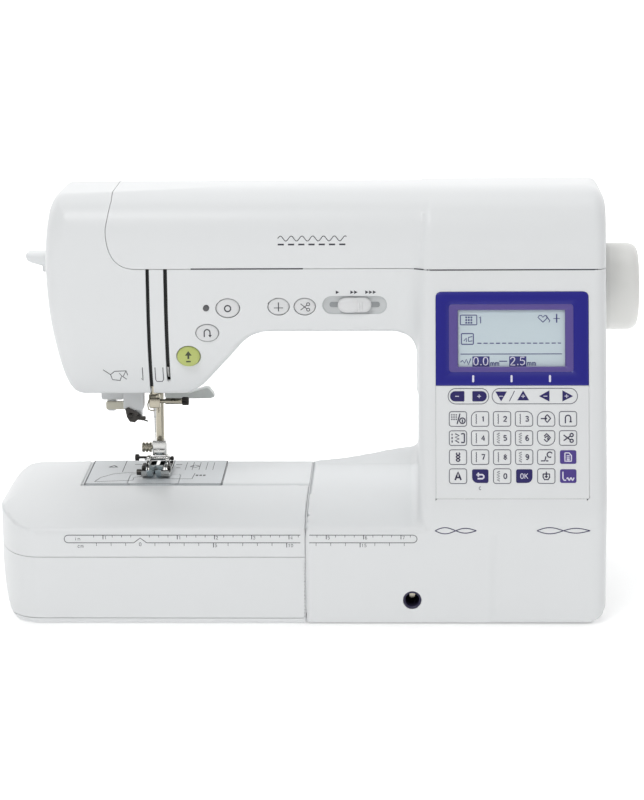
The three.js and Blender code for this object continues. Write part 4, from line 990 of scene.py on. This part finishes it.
def key_icon(row, column, on, x, v):
    """Strokes of the sign on one key."""
    key = (row, column)
    if key in DIGITS:
        return text(on, DIGITS[key], x + 1.0, v - 1.7, 3.4, 0.78)
    if key == (3, 3):
        return text(on, "0K", x - 2.6, v - 1.7, 3.4, 0.5)
    paths = [pts(path) for path in DRAWINGS[key].split("/")] if key in DRAWINGS else []
    paths += computed_signs(row, column)
    return strokes(on, 1.1 if key in {(3, 0), (3, 1)} else 0.8, *(path + (x, v) for path in paths))


def keys():
    """The membrane with raised keys, their outlines and their signs."""
    sheet = panel_loft([(round_rect(201.65 + i, 305.35 - i, 0.15 + i, 76.9 - i, 0.3), d)
                        for i, d in ((0, 2.2), (0, 0.1), (0.3, -0.15), (0.8, -0.2))])
    made("keypad_sheet", sheet, "key", "casing", "keypad", material=MATERIALS["casing"])
    on, base, top = (panel_surface(depth) for depth in (-0.62, -0.2, -0.38))
    tops = {"white": [], NAVY: [], PURPLE: []}
    outlines, signs, light, pale = [], [], [], []
    for r, v in enumerate(ROWS):
        for c, x in enumerate(COLUMNS):
            radii = CORNERS_OF.get((r, c), (1.6,) * 4)
            shape = lambda i: round_rect(x - 5.9 + i, x + 5.9 - i, v - 5 + i, v + 5 - i,
                                         [max(q - i, 0.1) for q in radii])
            colour = COLOURED.get((r, c), "white")
            tops[colour].append(panel_loft([(shape(i), d) for i, d in pts(".35 0 .35 -.35 .5 -.52 .9 -.6")]))
            if colour == "white":
                outlines.append(stroke(base, loop(shape(0)), 0.5))
                signs += key_icon(r, c, on, x, v)
                if 1 <= c <= 3:
                    half = 0.9 if (r, c) in {(1, 2), (1, 3), (2, 3), (3, 2)} else 0.15
                    pale.append(stroke(on, zigzag(x - 2.6, v - 3.4, v + 3.4, half, 8), 0.6))
            else:
                light += key_icon(r, c, on, x, v)
    outlines += strokes(base, 0.5, *(loop(round_rect(x0, x1, 64.5, 75, 5.2, 9))
                                     for x0, x1 in ((210, 237.5), (239.8, 297.6))))
    mid = 69.7
    pads = [round_rect(211.3, 221, mid - 3.5, mid + 3.5, (3.4, .6, .6, 3.4)),
            round_rect(226.4, 236.2, mid - 3.5, mid + 3.5, (.6, 3.4, 3.4, .6))]
    pads += [pts(numbers) + (0, mid) for numbers in (
        "242 3.2 249.8 3.2 245.9 -3.4", "256.9 -2.8 264.8 -2.8 260.8 3.8", "271.6 0 278.6 3.9 278.6 -3.6",
        "287.4 -3.6 287.4 3.9 294.6 0")]
    for k, x in enumerate((216, 231, 245.9, 260.8, 275.9, 290.2)):
        light.append(stroke(top, [(x - 1.3, mid), (x + 1.3, mid)], 0.5))
        if k % 2:
            light.append(stroke(top, [(x, mid - 1.2), (x, mid + 1.2)], 0.5))
    signs.append(stroke(base, [(251.5, mid - 3.4), (255, mid + 3.6)], 0.45))
    signs += text(base, "C", 230.8, 6.2, 2.2, 0.35)
    raised = [panel_loft([(p, d) for d in (0, -0.35)]) for p in pads]
    made("keys_white", gather(*tops["white"]), "key", "casing", material=MATERIALS["casing"])
    made("keys_navy", gather(*tops[NAVY], *raised), "bezel", "casing", material=NAVY)
    made("keys_purple", gather(*tops[PURPLE]), "bezel", "casing", material=PURPLE)
    for name, parts, ink in (("key_outlines", outlines, INK_PALE), ("key_signs", signs, INK_DARK),
                             ("key_stitch_signs", pale, INK_PALE), ("key_light_signs", light, INK_LIGHT)):
        printed(name, parts, ink, "casing", "key")


# ------------------------------------------------------------------ needle area
def needle_parts():
    """Needle, its clamp with a thread guide, and the clamp's screw."""
    clamp = turned("z", *NEEDLE, pts("1.4 127 3.6 127.2 4.1 128 4.1 136 3.6 137 3.3 137"), 28)
    jaw = block(-2.4, 5.4, 107.2, 113, 127.6, 134.6, 0.5, 0.8, "z")
    guide = tube([(-2.6, 109.5, 133.5), (-3.6, 108.6, 130), (-3.2, 108, 126.6), (-1, 107.6, 125.6),
                  (1.6, 107.8, 126)], 0.5)
    made("needle_clamp_body", gather(clamp, jaw, guide), "steel", "needle_slide", "needle_clamp",
         material=NICKEL)
    rod = turned("x", *CLAMP_SCREW, pts("1.5 4.7 1.5 8.6 2 8.8 2.2 9.4 2.2 21 2 21.4 1.6 21.6"), 20)
    knob = turned("x", *CLAMP_SCREW, [(1.6, 20.6), (2.6, 20.8, 1), (3, 21.6, 1), (3, 24.8, 1), (2.5, 25.6, 1),
                                    (1.4, 25.8)], 60, 15, 0.12)
    made("needle_clamp_rod", rod, "steel", "needle_screw", "needle_clamp_screw", material=NICKEL)
    made("needle_clamp_knob", knob, "steel", "needle_screw", material=DARK_METAL)
    needle = turned("z", *NEEDLE, pts(".03 103 .3 105 .45 106.6 .3 107.2 .34 108.6 .5 109.2 .55 119 .9 120.4 "
                                     "1 121 1 133.5"), 14)
    made("needle_blade", needle, "chrome", "needle_slide", "needle")


def rail(x0, x1):
    """One side of the presser foot's sole, with its toe turned up."""
    side = pts("93 84.6 94.2 82.6 96.6 80 99 79 135 79 136 79.6 136 81.5 99.6 81.5 97.4 82 95 84.2 93.8 85.2")
    return slab("x", side, x0, x1)


def foot_parts():
    """Presser foot holder with its screw, and the foot with its clear toe, pins and clips."""
    holder = gather(block(-2, 8, 117, 124.6, 90, 101, 0.6, 1.2, "z"),
                    block(-2, 8, 120.5, 132, 90, 98.6, 0.6, 0.8, "z"),
                    block(-1, 7, 116.4, 124, 90.2, 95.2, 0.4, 1.0, "x"))
    made("presser_foot_shank", holder, "chrome", "presser_slide", "presser_foot_holder")
    stack = [(1.6, -1.9), (1.6, -2.6)]
    for x in (-2.7, -5.2, -7.7):  # three ribs of the screw's head
        stack += [(3.4, x), (3.6, x - 0.4), (3.6, x - 1.4), (3.4, x - 1.8), (2.7, x - 1.9), (2.7, x - 2.5)]
    made("presser_foot_screw_head", turned("x", 121, 95.5, stack[:-1], 36), "steel", "foot_screw",
         "presser_foot_screw", material=NICKEL)
    ears = [block(x0, x1, 112.4, 123, 80.6, 90.4, 0.4, 1.6, "x") for x0, x1 in ((-5.9, -3), (7.6, 10.4))]
    axle = turned("x", *FOOT_AXLE, pts("1.2 -8 1.5 -7.4 1.5 10.6 1.2 10.9"), 16)
    made("presser_foot_sole", gather(
        rail(-8, -4.2), rail(6.2, 12), block(-8, 12, 116, 136, 79.2, 81.5, 0.3, 0.8, "z"), *ears, axle),
        "chrome", "foot", "presser_foot")
    bars = [block(x0, x1, y0, 116, 81.6, 83.6, 0.3, 0.8, "z")
            for x0, x1, y0 in ((-3.9, -0.2, 108.5), (2.2, 5.9, 108.5), (-3.9, 5.9, 113.6))]
    toe = gather(rail(-4.0, -0.2), rail(2.2, 6.0), *bars)
    made("presser_foot_clear_toe", toe, "clear", "foot", material=SMOKY)
    pins = [turned("x", y, z, pts(numbers), count) for y, z, numbers, count in (
        (*FOOT_AXLE, ".2 10.6 1.1 10.8 1.7 11.6 1.7 12.4 1.1 13.2 .2 13.4", 20),
        (118, 88.6, ".9 -11.4 .9 -5.6", 14), (118, 88.6, "1.2 -14.8 2.4 -14.4 2.4 -12 1.2 -11.4", 20),
        (99, 82.4, "1 -12 2.2 -11.6 2.2 -8.6 1 -8.2", 20))]
    made("presser_foot_pins", gather(*pins), "steel", "foot", material=DARK_METAL)
    clips = [block(x, x + 2.2, 100, 112, 81.6, 86.4, 0.4, 1.6, "x") for x in (-8.3, 10.0)]
    made("presser_foot_clips", gather(*clips), "steel", "foot", material=DARK_METAL)


def threader_parts():
    """The threader's block and hook, and the buttonhole lever."""
    arm = gather(turned("z", -14, 111, pts("2.2 176 2.4 175 2.4 134 2.2 133"), 20),
                 block(-21, -6.4, 106.4, 117, 126, 141, 0.8, 2.2),
                 block(-16, -8, 108.6, 116, 119, 127, 0.7, 1.8))
    made("threader_block", arm, "casing", "threader_carrier", "threader_arm")
    plate = pts("-19.6 127.4 -17.4 128.6 -12 125.4 -7.6 121.8 -5.4 121.6 -5 120 -7 118.8 -10.6 119.4 "
                "-13 117.4 -16.6 118 -18.6 121.6")
    hook = gather(slab("y", plate, 105.6, 108.4),
                  tube([(-8, 107.4, 120.4), (-6.6, 109.6, 118.4), (-5, 111, 117.4), (-4.4, 111.8, 117)], 0.55),
                  turned("y", -15.8, 122.4, pts("1.4 104.4 2 104.8 2 106"), 18),
                  turned("y", -10.2, 121.6, pts(".9 104.6 1.3 105 1.3 106"), 14))
    made("threader_hook", hook, "steel", "threader_carrier", material=DARK_METAL)
    lever = gather(block(-34, -28, 126, 131, 131, 178, 0.6, 1.5),
                   block(-38.5, -22.4, 121.6, 134.4, 130.4, 144, 0.9, 1.8),
                   block(-34.6, -28, 122.6, 133.6, 122, 130.8, 0.9, 1.6))
    made("buttonhole_lever_body", lever, "casing", "buttonhole", "buttonhole_lever")
    bar = block(-35, -20, 120.2, 123.4, 123.6, 129.4, 0.5, 1.0)
    made("buttonhole_lever_bar", bar, "casing", "buttonhole", material=CREAM)


def lever_parts():
    """The presser lifting lever and the threader lever's grip."""
    fin = pts("10 123.8 24 123.4 38 123.6 40.6 124.6 40.2 126.6 37 130.8 34.6 131.4 30 130 22 127.6 10 128.6")
    middle = fin.mean(0)
    rings = [lift("y", middle + (fin - middle) * share, y)
             for share, y in pts(".9 155.6 .98 156 1 157 1 164 .98 165 .9 165.4")]
    hub = turned("y", 8, 153, pts("4.6 150 5 150.6 5 169 4.6 170"), 24)
    made("presser_lift_handle", gather(block(4, 12, 156, 165, 123.4, 153, 0.6, 2.0), loft(rings), hub), "key",
         "lift_lever", "presser_lift_lever", material=LEVER)
    grip = loft([lift("x", round_rect(120 + (x + 90) * 0.06, 138 - (x + 90) * 0.06, 237.6 - 2 * half, 237.6,
                                      min(half, 2.6) - 0.1), x)
                 for x, half in pts("-89.4 1.6 -88.6 2.8 -86 3.5 -80 4.4 -74 5.2 -69 5.8 -66.6 5.9")])
    made("threader_lever_grip", gather(grip, block(-79, -59, 128, 132, 223, 234)), "casing", "threader_slide",
         "threader_lever")


def plate_marks():
    """Engraved outlines and guide marks on the needle plate, and painted shade for its slot."""
    on = lambda flat, up: lift("z", flat, PLATE_TOP + up)
    marks = []
    for width, paths in (
            (0.35, "-47.2 82.6 50 82.6/21 122 21 144/26 122 26 144/31 122 31 144/36 122 36 144/"
                   "41 122 41 144"),
            (0.6, "-47.2 82.6 -47.2 149.2/50 82.6 50 149.2"), (0.5, "-24 116 -24 149.5"),
            (0.4, "-41 88 -38 100 -30 110 -20 114 -10 112 -9 103 -14 100 -14 92 -41 88"),
            (0.45, "-5 96 28 96 29 112"), (1.1, "-35 130 -32 135 -29 130 -35 130"),
            (0.7, "24 132 27 136 31 133 28 129 24 132"), (1.0, "13 138 17.5 138"), (0.9, "14 128 17 128"),
            (3.2, "30 106 31.8 106/32.6 106 34.4 106/35.2 106 37 106"),
            (0.8, "-17 138 -12 138/-8 138 -3 138")):
        marks += strokes(on, width, *(pts(path) for path in paths.split("/")))
    printed("plate_marks", marks, INK_GREY, "casing", "chrome")
    # painted shade: a flat dark patch on the plate stands for the shade inside the open slot
    made("plate_slot_painted_shade", block(10.4, 11.6, 122, 150, 78.15, 78.28, 0.03, 0.4, "z"), "black", "casing",
         material=INK_DARK)


def wheel():
    """The handwheel, with a finger dish in its outer face."""
    rim = pts("8 319.4 24 319.4 27.6 319.8 29.6 320.8 30.5 322.6 30.6 324.6 30.6 336 30.4 338.6 29.4 341.2 "
              "27.4 343.2 25 344 22.6 343.6 21 342.6 19.5 341 12 340.4 3 340.4")
    made("handwheel_rim", turned("x", *WHEEL, rim, 72), "wheel", "drive_shaft", "handwheel")


def socket():
    """Bore of the knee lifter with its metal core."""
    lining = loft([lift("y", ellipse(*KNEE_LIFTER, r, r), y)
                   for r, y in pts("6.1 .3 6.1 21.6 4.8 21.6 4.8 .8 5.4 .3")], closed=True)
    made("knee_lifter_lining", lining, "grey", "casing", "knee_lifter_socket", material=INK_DARK)
    core = turned("y", *KNEE_LIFTER, pts("4.7 20 4.7 16 3.2 15.2 2 13"), 32)
    made("knee_lifter_core", core, "grey", "casing", material=NICKEL)


def joint_rim():
    """A pale rim a little inside the joint between the flat bed and the base."""
    i = 0.9  # how far inside the outline
    rim = np.array([
        (i, 8), (i, 60), (2.2 + i, 67 - i), (20, 75 - i), (40, 77.5 - i), (76, BED_TOP - i), (150, BED_TOP - i),
        (150, 70 - i), (76, 70 - i), (24, 64 - i), (10 + i, 56), (10 + i, 8)])
    made("bed_joint_rim", slab("x", rim, 112.75, 113.35), "casing", "casing")


def handle():
    """Carrying handle and the two ears that hold its pivots."""
    ears = [block(x0, x0 + 9, 173, 187, 240, 254, 0.8, 5, "x") for x0 in (30.6, 160.4)]
    made("handle_ears", gather(*ears), "casing", "casing")
    grip = [block(x0, x0 + 9, 179, 187.6, 200, 252, 0.8, 4, "x") for x0 in (40, 151)]
    grip.append(block(40, 160, 179, 188, 196, 214, 0.8, 4, "x"))
    made("carry_handle_grip", gather(*grip), "grey", "handle", "carry_handle")


for build in (ruler, arm_marks, slot_painted_shade, buttons, slider, display, keys, needle_parts, foot_parts,
              threader_parts, lever_parts, plate_marks, wheel, socket, joint_rim, handle):
    build()


# ------------------------------------------------------------------ studio
def camera():
    """The photograph's viewing angle, with the small roll that its level edges show."""
    data = bpy.data.cameras.new("camera")
    data.lens, data.sensor_width, data.clip_end = 119.7, 36, 20
    eye = bpy.data.objects.new("camera", data)
    bpy.context.scene.collection.objects.link(eye)
    eye.location = place((185.8, -1742.9, 553.9))
    aim = Vector((-0.0340, 0.97456, -0.22155)).to_track_quat("-Z", "Y")
    eye.rotation_euler = (aim @ Quaternion((0, 0, 1), -0.0095)).to_euler()
    bpy.context.scene.camera = eye


def lamp(name, at, aim, size, power):
    """A soft area light in the shared frame, in metres and watts."""
    data = bpy.data.lights.new(name, "AREA")
    data.shape, data.size, data.size_y, data.energy = "RECTANGLE", size[0], size[1], power
    light = bpy.data.objects.new(name, data)
    bpy.context.scene.collection.objects.link(light)
    light.location = at
    light.rotation_euler = (Vector(aim) - Vector(at)).to_track_quat("-Z", "Y").to_euler()


def floor():
    """A pale floor that curves up behind the machine and glows more towards the back."""
    mesh = bpy.data.meshes.new("studio_floor")
    bend = [(1.5 + math.sin(a) * 1.5, 1.5 - math.cos(a) * 1.5) for a in np.linspace(0, math.pi / 2, 16)[1:]]
    verts = [(x, y, z) for y, z in [(-6, 0), (1.5, 0)] + bend + [(3, 6)] for x in (-6, 6)]
    mesh.from_pydata(verts, [], [(i, i + 1, i + 3, i + 2) for i in range(0, len(verts) - 2, 2)])
    mesh.polygons.foreach_set("use_smooth", [True] * len(mesh.polygons))
    thing = bpy.data.objects.new("studio_floor", mesh)
    bpy.context.scene.collection.objects.link(thing)
    pale = shader("pale_floor", (0.9, 0.9, 0.9), tone=0.004, rough=0.7, relief=0.0)
    tree = pale.node_tree
    surface = tree.nodes["Principled BSDF"]
    surface.inputs["Emission Color"].default_value = (1, 1, 1, 1)
    spot_on_floor = shader_node(tree, "NewGeometry")
    axes = shader_node(tree, "SeparateXYZ")
    glow = shader_node(tree, "MapRange", From_Min=-0.1, From_Max=1.0, To_Min=0.3, To_Max=0.7)
    tree.links.new(spot_on_floor.outputs["Position"], axes.inputs[0])
    tree.links.new(axes.outputs["Y"], glow.inputs["Value"])
    tree.links.new(glow.outputs["Result"], surface.inputs["Emission Strength"])
    mesh.materials.append(pale)


def world():
    sky = bpy.data.worlds.new("studio")
    bpy.context.scene.world = sky
    sky.use_nodes = True
    back = sky.node_tree.nodes["Background"]
    back.inputs["Color"].default_value = (1, 1, 1, 1)
    back.inputs["Strength"].default_value = 0.34


camera()
floor()
world()
lamp("key", (-0.6, -1.35, 1.9), (0, 0, 0.12), (0.9, 0.7), 16.5)
lamp("fill", (1.4, -1.5, 0.8), (0, 0, 0.15), (0.7, 0.7), 1.8)
lamp("top", (0.1, 0.2, 1.9), (0, 0, 0), (1.4, 0.9), 7)
bpy.context.scene.view_settings.view_transform = "Standard"

SLOTS = {part["node"]: part["material_slot"] for part in frame["record"]["subparts"]}
for node, thing in frame["nodes"].items():
    thing.data.materials.clear()
    thing.data.materials.append(NODE_MATERIALS.get(node, MATERIALS[SLOTS[node]]))
    edge = thing.modifiers.new("soft_edges", "BEVEL")
    edge.width, edge.segments, edge.limit_method, edge.angle_limit = 0.0004, 2, "ANGLE", math.radians(40)
